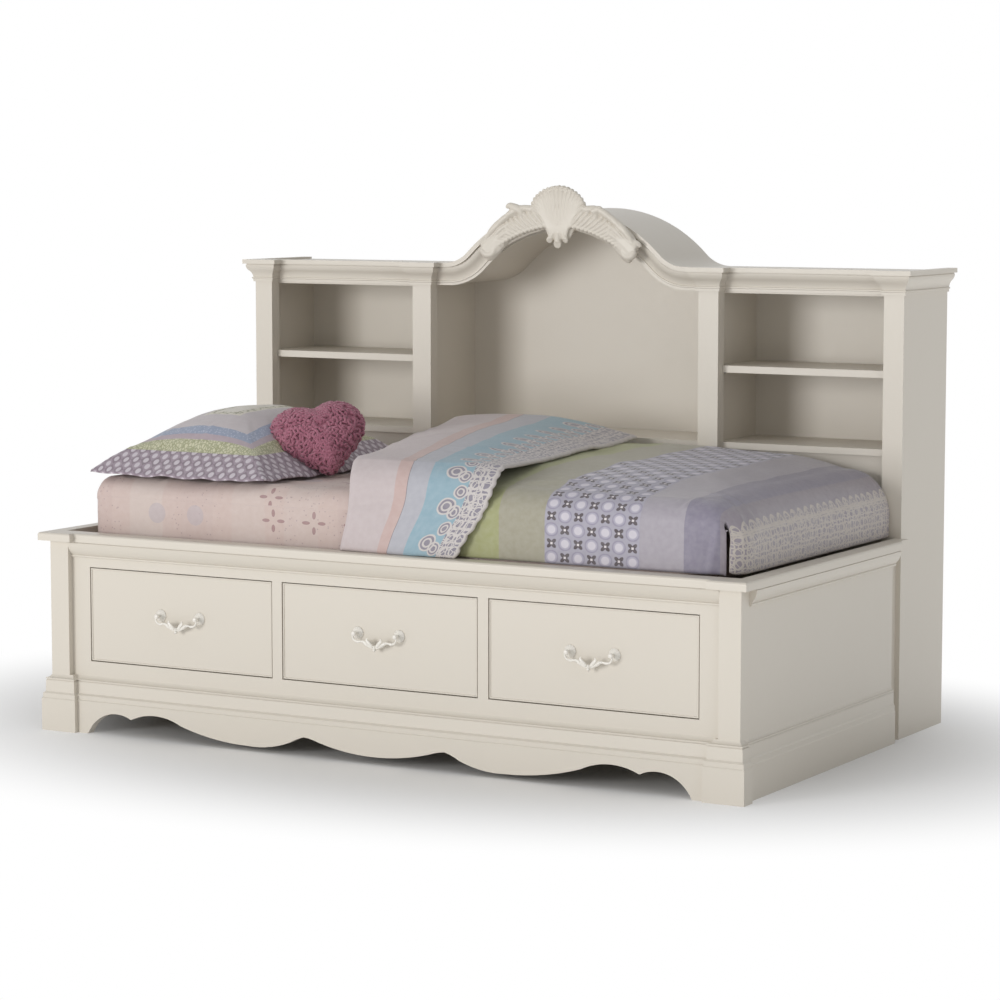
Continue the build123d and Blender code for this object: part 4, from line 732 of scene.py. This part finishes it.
@dataclass
class DuvetFold:
    """Turned-back end of the duvet: banded underside, fat rolled left edge and a lace right edge."""

    width: float = 0.396
    radius: float = 0.085
    lean: float = 0.02
    step: float = 0.008
    hem: float = 0.5415
    bed_top: float = 0.694
    top_front: float = 0.778
    hem_thickness: float = 0.012
    body_thickness: float = 0.030

    def print(self, graph: Graph, across: Value, along: Value) -> Cloth:
        """Bands of the lining, then the lace that lies over slate cloth."""
        colour = graph.bands(across, "C0B3B3", (0.133, "BFA49E"), (0.1665, "6C5F66"), (0.168, "ABABB3"),
                             (0.2235, "86A5B3"))
        pitch = 0.094
        _, place = graph.cell(along, pitch)
        run = place * pitch
        flat = graph.vector(across, along)
        sway = (graph.noise(flat, 40.0, 1.0) - 0.5) * 0.008
        big = graph.length((across - 0.290 + sway) * 0.85, run + 0.012)
        side = graph.length(across - 0.318 + sway, abs(run) - 0.026)
        inside = (big < 0.022) | (side < 0.0185) | (across > 0.334)
        colour = graph.mix(inside, colour, "7F7986")
        cords = (abs(big - 0.0205) < 0.0026) | (abs(big - 0.0105) < 0.0022) | (abs(side - 0.0170) < 0.0024)
        cords = cords | (abs(side - 0.0085) < 0.0020)
        net = (across > 0.334) & lace(graph, across, along, 0.034)
        selvage = across > 0.3885
        mask = (cords & inside) | net | selvage
        colour = graph.mix(mask & 0.9, colour, "CDC6C2")
        return Cloth(colour, 0.75, mask * 0.0010, 0.25)

    def build(self, finishes: Finishes) -> None:
        """Slab from the front hem up over the edge and back, its sides leaning in plan."""
        low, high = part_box("duvet_fold")
        edge_y = low.y + self.lean + self.radius
        hang = self.top_front - self.radius - self.hem
        edge_t = hang + self.radius * QUARTER
        total_t = edge_t + high.y - 0.004 - edge_y
        share = stations([0.0, 1.0], self.step / self.width, 0.11)[:, None]
        t = stations([0.0, total_t], self.step, 0.02)[None]
        share, t = np.broadcast_arrays(share, t)
        turn, reach, fall = over_edge(edge_t - t, self.radius)
        y = edge_y - reach - self.lean * np.clip(fall / hang, 0, 1)
        keys_left = ((0.0, -0.127), (hang, -0.095), (edge_t + 0.25, -0.205), (edge_t + 0.55, -0.305),
                     (total_t, -0.372))
        keys_right = ((0.0, 0.205), (hang, 0.325), (edge_t + 0.25, 0.300), (edge_t + 0.55, 0.262),
                      (total_t, 0.242))
        spread = np.linspace(-0.075, 0.075, 11)
        left = np.mean([np.interp(t + shift, *np.transpose(keys_left)) for shift in spread], axis=0)
        right = np.mean([np.interp(t + shift, *np.transpose(keys_right)) for shift in spread], axis=0)
        scallop = 0.007 * np.abs(np.sin(math.pi * t / 0.030)) * np.clip((share - 0.93) / 0.07, 0, 1)
        x = left + (right - left) * share + scallop
        back = np.clip((y - edge_y) / (high.y - edge_y), 0, 1)
        swell = np.sin(math.pi * np.clip(share, 0, 1) ** 0.85) ** 0.9
        ends = (0.770 + 0.026 * back) * (1 - share) + (0.772 + 0.006 * back) * share
        top = np.where(reach < 0, ends + (0.014 + 0.026 * back) * swell, self.top_front)
        blend = np.clip(-reach / 0.12, 0, 1)
        top = self.top_front + (top - self.top_front) * ease(blend)
        z = top - self.radius * (1 - np.cos(turn)) - fall
        surface = np.stack([x, y, z], -1)
        across = share * self.width
        marks = ((0.16, edge_t - 0.03, 0.20, 0.006, 2), (0.30, edge_t + 0.22, 0.10, 0.010, 20),
                 (0.08, edge_t + 0.35, 0.08, 0.010, 60), (0.06, 0.11, 0.05, 0.006, 8))
        relief = (waves(across, t, 21, 0.12, 0.6, 0.006) + waves(across, t, 22, 0.035, 0.1, 0.0010)
                  + creases(across, t, marks, 0.0035))
        surface = surface + normals(surface) * relief[..., None]
        fat = np.clip(1 - share / 0.60, 0, 1)
        deep = np.where(reach < 0.0, np.maximum(surface[..., 2] - self.bed_top, self.body_thickness),
                        self.body_thickness)
        thickness = self.hem_thickness + (deep - self.hem_thickness) * ease(fat)
        side_left = rounding(share * self.width, 0.020)
        side_right = rounding((1 - share) * self.width, 0.006)
        ends_full = rounding(np.minimum(t, total_t - t), 0.008)
        full = side_left * side_right * ends_full
        shape = padded_sheet(surface, thickness, full, np.stack([across, t], -1))
        piece = add_piece("duvet_turnback", shape, finishes.fabric("turnback_print", self.print))
        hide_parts("duvet_fold")


@dataclass
class PillowSham:
    """Pillow in a flanged sham: a full body inside, and a loose wide flange round it."""

    flange: float = 0.088
    seam_height: float = 0.762
    crown: float = 0.100
    belly: float = 0.055
    step: float = 0.0075
    droop: float = 0.064
    half_seam: float = 0.0035

    def half_sizes(self) -> tuple[float, float]:
        """Half the sham's width and length."""
        low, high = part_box("pillow")
        return (high.x - low.x) / 2, (high.y - low.y) / 2

    def print(self, graph: Graph, across: Value, along: Value) -> Cloth:
        """Mitred frames, from the flange's check in to the cream middle with its leaf wreath."""
        half_x, half_y = self.half_sizes()
        inward = graph.math("MINIMUM", half_x - abs(across), half_y - abs(along))
        row, p = graph.cell(across + along, 0.034)
        line, q = graph.cell(across - along, 0.034)
        odd = graph.math("PINGPONG", row + line, 1.0) > 0.5
        check = graph.mix(odd, "7A6775", "93828F")
        check = graph.mix(graph.step(graph.length(p, q), 0.27, 0.38), "C6BDC5", check)
        flat = graph.vector(across, along)
        leaves = graph.cells(flat, 130.0) < 0.12
        green = graph.mix(leaves, "C2C0A0", "95966F")
        specks = graph.cells(flat, 150.0, "F1") < 0.33
        blue = graph.mix(specks, "8792AA", "ABB1C2")
        sprig = graph.cells(flat, 46.0) < 0.10
        wreath = graph.mix(sprig, "D5CFBE", "8F8A6C")
        colour = graph.bands(inward, check, (0.080, green), (0.110, "A8979F"), (0.128, blue),
                             (0.160, "BFB6B8"), (0.235, "D3CCBE"), (0.242, wreath), (0.262, "D8D2C6"))
        return Cloth(colour, 0.7, None, 0.3)

    def build(self, finishes: Finishes) -> None:
        """Flat frame with waves at its edge and a crowned body; both sides meet at the rim."""
        low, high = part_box("pillow")
        half_x, half_y = self.half_sizes()
        x = stations([-half_x, half_x], self.step, 0.012)[:, None]
        y = stations([-half_y, half_y], self.step, 0.012)[None]
        x, y = np.broadcast_arrays(x, y)
        inward = np.minimum(half_x - np.abs(x), half_y - np.abs(y))
        across = np.clip(np.abs(x) / (half_x - self.flange), 0, 1)
        along = np.clip(np.abs(y) / (half_y - self.flange), 0, 1)
        body = ((1 - across ** 2.1) * (1 - along ** 2.4)) ** 0.72
        loose = np.clip(1 - inward / self.flange, 0, 1)
        droop = self.droop * loose ** 1.05
        flutter = waves(x, y, 33, 0.07, 0.16, 0.008) * loose
        middle_z = self.seam_height - droop + flutter
        relief = waves(x, y, 31, 0.05, 0.35, 0.004) * np.clip(body * 2, 0, 1)
        marks = ((0.14, -0.22, 0.07, 0.008, -50), (0.17, -0.12, 0.05, 0.007, -15),
                 (-0.12, -0.24, 0.06, 0.008, 60), (0.02, -0.26, 0.05, 0.007, 88),
                 (0.16, 0.10, 0.06, 0.008, 10))
        upper = middle_z + self.half_seam + self.crown * body + relief + creases(x, y, marks, 0.004) * body
        lower = middle_z - self.half_seam - self.belly * body
        floor = low.z + 0.002
        upper, lower = np.maximum(upper, floor + 0.006), np.maximum(lower, floor)
        centre = (low + high) / 2
        pull_in = 0.012 * np.sin(np.clip(inward / 0.2, 0, 1) * math.pi)
        pull_in = pull_in + 0.045 * (x / half_x) ** 4 * (y / half_y) ** 4
        surface = np.stack([centre.x + x * (1 - pull_in), centre.y + y * (1 - pull_in), upper], -1)
        full = rounding(inward, 0.004)
        flat = np.stack([x, y], -1)
        shape = padded_sheet(surface, upper - lower, full, flat)
        piece = add_piece("pillow_sham", shape, finishes.fabric("sham_print", self.print))
        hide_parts("pillow")


@dataclass
class HeartCushion:
    """Heart cushion leaning on the pillow, covered with short looped ruffles."""

    size: float = 0.262
    thickness: float = 0.104
    turn: float = 38.0
    tilt: float = 42.0
    roll: float = 12.0
    middle: tuple = (-0.403, -0.260, 0.795)
    ruffles: int = 1150
    ruffle_height: float = 0.0075
    ruffle_length: float = 0.021
    front_share: float = 0.72
    sides: int = 84
    rings: int = 16
    pointed_share: float = 0.56

    def build(self, finishes: Finishes) -> None:
        """Rings of the heart's outline swell to the middle; seeded ruffles stand on both faces."""
        material, graph, shader = finishes.start("rose_chenille")
        place = graph.place()
        tone = graph.noise(place, 38.0, 2.0)
        graph.feed(shader.inputs["Base Color"], graph.mix(tone, "8E4E62", "B97C8E"))
        shader.inputs["Roughness"].default_value = 0.9
        shader.inputs["Sheen Weight"].default_value = 0.5
        shader.inputs["Sheen Roughness"].default_value = 0.4
        graph.feed(shader.inputs["Normal"], graph.node(
            "Bump", {"Strength": 0.7, "Distance": 0.0016, "Height": graph.noise(place, 260.0, 3.0)}))
        turn = np.linspace(0, 2 * math.pi, self.sides, endpoint=False)
        outline = np.stack([16 * np.sin(turn) ** 3, 13 * np.cos(turn) - 5 * np.cos(2 * turn)
                            - 2 * np.cos(3 * turn) - np.cos(4 * turn) + 2], -1)
        round_off = 14.5 * np.stack([np.sin(turn), 0.92 * np.cos(turn)], -1)
        round_share = 1 - self.pointed_share
        outline = (self.pointed_share * outline + round_share * round_off) * self.size / 32
        roll = math.radians(self.roll)
        outline = outline @ np.array([[math.cos(roll), math.sin(roll)], [-math.sin(roll), math.cos(roll)]])
        ring = np.sin(np.linspace(0.04, 1, self.rings) * QUARTER)
        height = self.thickness / 2 * (1 - ring ** 2.4) ** 0.55
        shapes = []
        side_points = []
        for side in (1, -1):
            flat = ring[:, None, None] * outline
            level = np.broadcast_to((side * height)[:, None, None], (self.rings, self.sides, 1))
            points = np.concatenate([flat, level], -1)
            side_points.append(points)
        both = np.concatenate([side_points[0], side_points[1][-2::-1]])
        rows = len(both)
        shapes.append(capped(both, [0, 0, self.thickness / 2], [0, 0, -self.thickness / 2]))
        out = np.cross(np.roll(both, -1, 1) - np.roll(both, 1, 1), np.gradient(both, axis=0))
        out /= np.maximum(np.linalg.norm(out, axis=-1, keepdims=True), 1e-9)
        if np.sum(out[2, :, 2]) < 0:
            out = -out
        rng = np.random.default_rng(5)
        radius = np.sqrt(rng.uniform(0.004, 1, self.ruffles))
        front = rng.uniform(0, 1, self.ruffles) < self.front_share
        row = np.clip(np.searchsorted(ring, radius), 0, self.rings - 1)
        row = np.where(front, row, rows - 1 - row)
        column = rng.integers(0, self.sides, self.ruffles)
        root, up = both[row, column], out[row, column]
        spin = rng.normal(size=(self.ruffles, 3))
        along = np.cross(up, spin)
        along /= np.linalg.norm(along, axis=1, keepdims=True)
        bend = rng.uniform(-0.004, 0.004, self.ruffles)
        for i in range(self.ruffles):
            share = np.linspace(0, 1, 7)[:, None]
            across = np.cross(up[i], along[i])
            sway = across * bend[i] * np.sin(2 * math.pi * share)
            lift = up[i] * (self.ruffle_height * np.sin(math.pi * share) - 0.003)
            path = root[i] + along[i] * (share - 0.5) * self.ruffle_length + sway + lift
            girth = 0.0029 + 0.0008 * np.sin(math.pi * share[:, 0])
            shapes.append(swept(path, girth, girth, 6, up[i] + 0.01))
        whole = Shape.joined(shapes)
        turn_z, lean = math.radians(self.turn), math.radians(90 - self.tilt)
        stood = np.array(Matrix.Rotation(turn_z, 3, "Z") @ Matrix.Rotation(lean, 3, "X"))
        whole.points = whole.points @ stood.T + np.array(self.middle)
        piece = recalculated(add_piece("heart_ruffled", whole, material))
        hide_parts("heart_cushion")


@dataclass
class DrawerPull:
    """Swan-neck drawer pull: two petalled rosettes with posts, and a bail with a leafy middle."""

    face: float = -0.612
    axis_z: float = 0.333
    half_spacing: float = 0.062
    reach: float = 0.021
    samples: int = 97
    rosette: tuple = ((0, .0150), (.0012, .0152), (.0028, .0146), (.0034, .0118), (.0046, .0112),
                      (.0062, .0092), (.0068, .0066), (.0078, .0060))
    post: tuple = ((.0040, .0040), (.0125, .0038), (.0150, .0046), (.0165, .0060), (.0185, .0066),
                   (.0225, .0068), (.0250, .0058), (.0262, .0034))

    def mounts(self, name: str, x: float, finishes: Finishes) -> None:
        """Rosettes and posts, fixed to the drawer's front."""
        shapes = []
        for side in (-1, 1):
            for profile, lobes in ((self.rosette, 12), (self.post, 0)):
                shape = turned(profile, 72 if lobes else 24, lobes, 0.10)
                shape.points += np.array([x + side * self.half_spacing, self.face, self.axis_z])
                shapes.append(shape)
        whole = Shape.joined(shapes)
        piece = recalculated(add_piece("rosettes_" + name, whole, finishes.enamel, "drawer_" + name))
        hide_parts("pull_mounts_" + name)

    def bail(self, name: str, x: float, finishes: Finishes) -> None:
        """Bent rod from eye to eye with beads, a leaf each side of the middle and a hanging knop."""
        y = self.face - self.reach
        half = [(-0.0645, 0.002), (-0.0655, -0.008), (-0.0600, -0.0165), (-0.0500, -0.0195),
                (-0.0400, -0.0180), (-0.0310, -0.0190), (-0.0220, -0.0250), (-0.0110, -0.0310),
                (0.0, -0.0330)]
        knots = half + [(-px, pz) for px, pz in half[-2::-1]]
        path = curve([(x + px, y, self.axis_z + pz) for px, pz in knots], self.samples)
        share = np.abs(np.linspace(-1, 1, self.samples))
        girth = 0.0026 + 0.0008 * np.sin(share * 46) ** 2 * (share < 0.5)
        for middle, spread, swell in ((0.30, 0.10, 0.0024), (0.62, 0.06, 0.0012), (1.0, 0.05, 0.0011)):
            girth += swell * np.exp(-((share - middle) / spread) ** 2)
        front = np.array([0.0, -1.0, 0.0])
        shapes = [swept(path, girth, girth * 0.9, 14, front)]
        for side in (-1, 1):
            knots = ((0.006, 0.001, 0.031), (0.013, 0.003, 0.023),
                     (0.021, 0.004, 0.014), (0.019, 0.003, 0.007))
            leaf = curve([(x + side * out, y - lift, self.axis_z - drop) for out, lift, drop in knots], 15)
            width = 0.0042 * np.sin(np.linspace(0.25, 1, 15) * math.pi) + 0.0008
            shapes.append(swept(leaf, width, width * 0.5, 10, front))
        knop = curve([(x, y, self.axis_z - drop) for drop in (0.026, 0.034, 0.043)], 17)
        swell = 0.0056 * np.sin(np.linspace(0.12, 0.93, 17) * math.pi)
        swell += 0.0010 * np.sin(np.linspace(0, 3, 17) * 6)
        shapes.append(swept(knop, swell, swell, 16, front))
        whole = Shape.joined(shapes)
        piece = recalculated(add_piece("bail_rod_" + name, whole, finishes.enamel, "bail_" + name))
        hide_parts("pull_bail_" + name)

    def build(self, finishes: Finishes) -> None:
        """Three pulls, one on each drawer."""
        for name, x in DRAWERS.items():
            self.mounts(name, x, finishes)
            self.bail(name, x, finishes)


@dataclass
class Crest:
    """Carved crest over the arch: a ribbed shell, feathered plumes and a rolled scroll at each end."""

    centre_z: float = 0.9826
    inner: float = 0.3609
    back: float = 0.356
    front: float = 0.323
    voxel: float = 0.0017
    bars: list = field(default_factory=list)

    def bar(self, knots: list, wide: list, deep: float, count: int = 26) -> None:
        """Adds one carved strand: knots are (x, depth to the front, z), and wide its half widths."""
        path = curve([(x, self.back - lift, z) for x, lift, z in knots], count)
        place = np.linspace(0, 1, count)
        girth = np.interp(place, np.linspace(0, 1, len(wide)), wide)
        girth = girth * rounding(np.minimum(place, 1 - place) + 0.015, 0.10)
        self.bars.append(swept(path, girth, np.minimum(girth * deep, 0.014), 12, np.array([0.0, -1.0, 0.0])))

    def arc(self, degrees: float, radius: float, lift: float) -> tuple[float, float, float]:
        """A knot by its angle from the middle and its radius about the arch's centre."""
        angle = math.radians(degrees)
        return (radius * math.sin(angle), lift, self.centre_z + radius * math.cos(angle))

    def shell(self) -> None:
        """Ribs that flow up and out of the waist over a solid fan, each ending in a forward lump."""
        for tilt in np.linspace(-82, 82, 17):
            lean = math.sin(math.radians(tilt))
            rise = math.cos(math.radians(tilt))
            foot = 0.031 * lean
            tip_x, tip_z = 0.082 * lean, 1.386 + 0.079 * rise ** 0.66
            lump = 0.0090 + 0.0024 * math.cos(3.0 * tilt)
            knots = [(foot * 0.8, 0.019, 1.318), (foot, 0.022, 1.346),
                     (foot * 1.1 + tip_x * 0.14, 0.020, 1.374),
                     (tip_x * 0.76, 0.018, tip_z - 0.030 * rise - 0.010),
                     (tip_x * 0.98, 0.019, tip_z - 0.006), (tip_x, 0.025, tip_z - 0.009)]
            self.bar(knots, [0.0038, 0.0046, 0.0058, 0.0078, lump, 0.0066], 1.15)
        for share in np.linspace(-1, 1, 7):
            self.bar([(share * 0.020, 0.010, 1.322), (share * 0.038, 0.010, 1.372),
                      (share * 0.052, 0.008, 1.432 - 0.022 * share ** 2)],
                     [0.013, 0.020, 0.028], 0.45)

    def toes(self) -> None:
        """Three curled toes below the waist, the middle one lowest."""
        for x, drop, girth in ((-0.0235, 1.3150, 0.0096), (0.0, 1.3045, 0.0122), (0.0235, 1.3150, 0.0096)):
            self.bar([(x * 0.45, 0.019, 1.345), (x * 0.85, 0.021, 1.328),
                      (x * 1.05, 0.022, drop + 0.004), (x * 1.02, 0.027, drop + 0.001)],
                     [0.0070, 0.0078, girth, girth], 1.0)

    def plume(self, side: int) -> None:
        """Acanthus leaf on one side: a broad body over the moulding, with strands combed down it."""
        def at(degrees: float, radius: float, lift: float) -> tuple[float, float, float]:
            return self.arc(side * degrees, self.inner + radius, lift)

        self.bar([at(2, 0.036, .009), at(10, 0.038, .010), at(20, 0.036, .010),
                  at(30, 0.030, .009), at(36, 0.026, .008)],
                 [0.026, 0.037, 0.038, 0.033, 0.026], 0.24, 44)
        for index in range(13):
            start = 5.5 + index * 2.0
            length = 0.060 - 0.0016 * index
            top = 0.072 - 0.0020 * index
            self.bar([at(start + 6.0, top + 0.004, .012), at(start + 5.2, top - length * 0.22, .018),
                      at(start + 3.4, top - length * 0.58, .021), at(start + 1.0, top - length * 0.92, .020),
                      at(start - 0.4, top - length * 1.02, .022)],
                     [0.0050, 0.0066, 0.0068, 0.0060, 0.0062], 1.25)
        for index in range(3):
            start = 15.0 + index * 5.0
            self.bar([at(start - 6.0, 0.066, .014), at(start, 0.075 - 0.005 * index, .018),
                      at(start + 5.5, 0.073 - 0.009 * index, .021),
                      at(start + 12.0, 0.056 - 0.009 * index, .019)],
                     [0.0060, 0.0100, 0.0100, 0.0060], 1.0)
        tip_x, tip_z = (0.140, 1.399) if side > 0 else (-0.165, 1.406)
        self.bar([at(17, 0.040, .018), at(16, 0.066, .020), (tip_x * 0.80, .021, tip_z - 0.003),
                  (tip_x * 0.93, .022, tip_z + 0.004), (tip_x, .023, tip_z)],
                 [0.0060, 0.0110, 0.0125, 0.0100, 0.0040], 0.9)
        self.bar([at(8, 0.052, .014), (side * 0.090, .018, 1.402), (tip_x * 0.84, .019, tip_z + 0.001)],
                 [0.0070, 0.0110, 0.0060], 0.9)

    def scroll(self, side: int) -> None:
        """Fat leaf at the plume's end, rolled over on itself into a bulb."""
        centre_x, centre_z = side * 0.226, 1.288
        turn = np.linspace(2.7, -3.3, 15)
        radii = np.linspace(0.029, 0.009, 15)
        spiral = [(centre_x - side * math.cos(a) * r * 1.12, lift, centre_z + math.sin(a) * r)
                  for a, r, lift in zip(turn, radii, np.linspace(0.014, 0.025, 15))]
        self.bar([(side * 0.165, .013, 1.340), (side * 0.194, .015, 1.316),
                  (centre_x, .016, centre_z + 0.001), (centre_x + side * 0.012, .016, centre_z - 0.006)],
                 [0.024, 0.031, 0.035, 0.029], 0.60, 40)
        self.bar(spiral, [0.0075, 0.0105, 0.0112, 0.0105, 0.0095], 0.95, 64)
        for offset in (-0.014, 0.0, 0.014):
            self.bar([(side * (0.148 + offset * 0.7), .019, 1.366 + offset),
                      (side * (0.182 + offset * 0.8), .024, 1.344 + offset * 0.8),
                      (side * (0.212 + offset * 0.6), .024, 1.316 + offset * 0.6)],
                     [0.0045, 0.0075, 0.0042], 0.9)

    def build(self, finishes: Finishes) -> None:
        """Every strand swept, then joined into one carved skin with a flat back."""
        self.shell()
        self.toes()
        for side in (-1, 1):
            self.plume(side)
            self.scroll(side)
        piece = recalculated(add_piece("crest_relief", Shape.joined(self.bars), finishes.paint))
        skin = piece.modifiers.new("skin", "REMESH")
        skin.mode = "VOXEL"
        skin.voxel_size = self.voxel
        skin.use_smooth_shade = True
        smooth = piece.modifiers.new("soften", "SMOOTH")
        smooth.factor = 0.5
        smooth.iterations = 2
        depsgraph = bpy.context.evaluated_depsgraph_get()
        carved = bpy.data.meshes.new_from_object(piece.evaluated_get(depsgraph))
        piece.modifiers.clear()
        piece.data = carved
        places = np.empty(len(carved.vertices) * 3, np.float32)
        carved.vertices.foreach_get("co", places)
        places = places.reshape(-1, 3)
        places[:, 1] = np.clip(places[:, 1], self.front, self.back + 0.001)
        carved.vertices.foreach_set("co", places.ravel())
        carved.update()
        carved.shade_smooth()
        LOG.info("crest has %d faces", len(carved.polygons))
        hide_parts("crest_carving")


@dataclass
class Studio:
    """Camera, lamps, floor and white surround of the photograph."""

    camera_place: tuple = (4.2439, -7.3974, 1.5271)
    yaw: float = -29.806
    pitch: float = 6.06
    lens: float = 113.95
    target: tuple = (0.0, 0.0, 0.65)

    def camera(self) -> None:
        """Places the camera where the photograph was taken from."""
        data = bpy.data.cameras.new("photo_camera")
        data.lens = self.lens
        data.sensor_width = 36.0
        data.clip_end = 80.0
        camera = place_object("photo_camera", data)
        camera.location = self.camera_place
        yaw, pitch = math.radians(self.yaw), math.radians(self.pitch)
        forward = Vector((math.sin(yaw) * math.cos(pitch), math.cos(yaw) * math.cos(pitch), -math.sin(pitch)))
        camera.rotation_euler = forward.to_track_quat("-Z", "Y").to_euler()
        bpy.context.scene.camera = camera

    def lamp(self, name: str, place: tuple, size: float, power: float, colour: tuple) -> None:
        """One soft square lamp aimed at the daybed."""
        data = bpy.data.lights.new(name, "AREA")
        data.size = size
        data.energy = power
        data.color = colour
        lamp = place_object(name, data)
        lamp.location = place
        lamp.rotation_euler = (Vector(self.target) - Vector(place)).to_track_quat("-Z", "Y").to_euler()

    def surround(self) -> None:
        """White to the camera and in reflections, and a dimmer even light for everything else."""
        world = bpy.data.worlds.new("studio_world")
        world.use_nodes = True
        bpy.context.scene.world = world
        graph = Graph(world.node_tree)
        world.node_tree.nodes.clear()
        path = world.node_tree.nodes.new("ShaderNodeLightPath")
        seen = [Value(graph, path.outputs[name]) for name in
                ("Is Camera Ray", "Is Glossy Ray", "Is Transmission Ray")]
        bright = seen[0] | seen[1] | seen[2]
        back = graph.node("Background", {"Color": (0.98, 0.99, 1.0, 1.0), "Strength": 0.38})
        white = graph.node("Background", {"Color": (1.0, 1.0, 1.0, 1.0), "Strength": 1.0})
        shown = graph.node("MixShader", {0: bright, 1: back, 2: white})
        output = world.node_tree.nodes.new("ShaderNodeOutputWorld")
        graph.feed(output.inputs["Surface"], shown)

    def floor(self) -> None:
        """Pale floor that fades to the white surround away from the daybed."""
        material = bpy.data.materials.new("studio_floor")
        material.use_nodes = True
        tree = material.node_tree
        graph = Graph(tree)
        shader = tree.nodes["Principled BSDF"]
        shader.inputs["Base Color"].default_value = (0.86, 0.86, 0.86, 1.0)
        shader.inputs["Roughness"].default_value = 0.9
        x, y, _ = graph.split(graph.place())
        away = graph.step(graph.length(x * 0.75, y), 0.72, 1.55)
        glow = graph.node("Emission", {"Color": (1.0, 1.0, 1.0, 1.0), "Strength": 1.0})
        shown = graph.node("MixShader", {0: away, 1: Value(graph, shader.outputs[0]), 2: glow})
        graph.feed(tree.nodes["Material Output"].inputs["Surface"], shown)
        half = 14.0
        points = np.array([[-half, -half, 0], [half, -half, 0], [half, half, 0], [-half, half, 0]])
        mesh = bpy.data.meshes.new("studio_floor")
        mesh.from_pydata(points.tolist(), [], [[0, 1, 2, 3]])
        mesh.materials.append(material)
        place_object("studio_floor", mesh)

    def build(self) -> None:
        """The whole studio."""
        self.camera()
        self.surround()
        self.floor()
        self.lamp("key_lamp", (-4.4, -10.5, 2.0), 4.0, 520.0, (1.0, 0.99, 0.98))
        self.lamp("right_lamp", (4.8, -3.4, 2.6), 2.6, 16.0, (1.0, 0.99, 0.975))
        self.lamp("top_lamp", (0.2, -1.8, 4.6), 2.4, 20.0, (1.0, 1.0, 1.0))
        bpy.context.scene.view_settings.view_transform = "Standard"


def main() -> None:
    """Dresses the daybed and sets the studio."""
    logging.basicConfig(level=logging.INFO)
    finishes = Finishes()
    Joinery().build(finishes)
    for piece in (Mattress(), Duvet(), DuvetFold(), PillowSham(), HeartCushion(), DrawerPull(), Crest()):
        piece.build(finishes)
        LOG.info("built %s", type(piece).__name__)
    Studio().build()


if __name__ == "__main__":
    main()
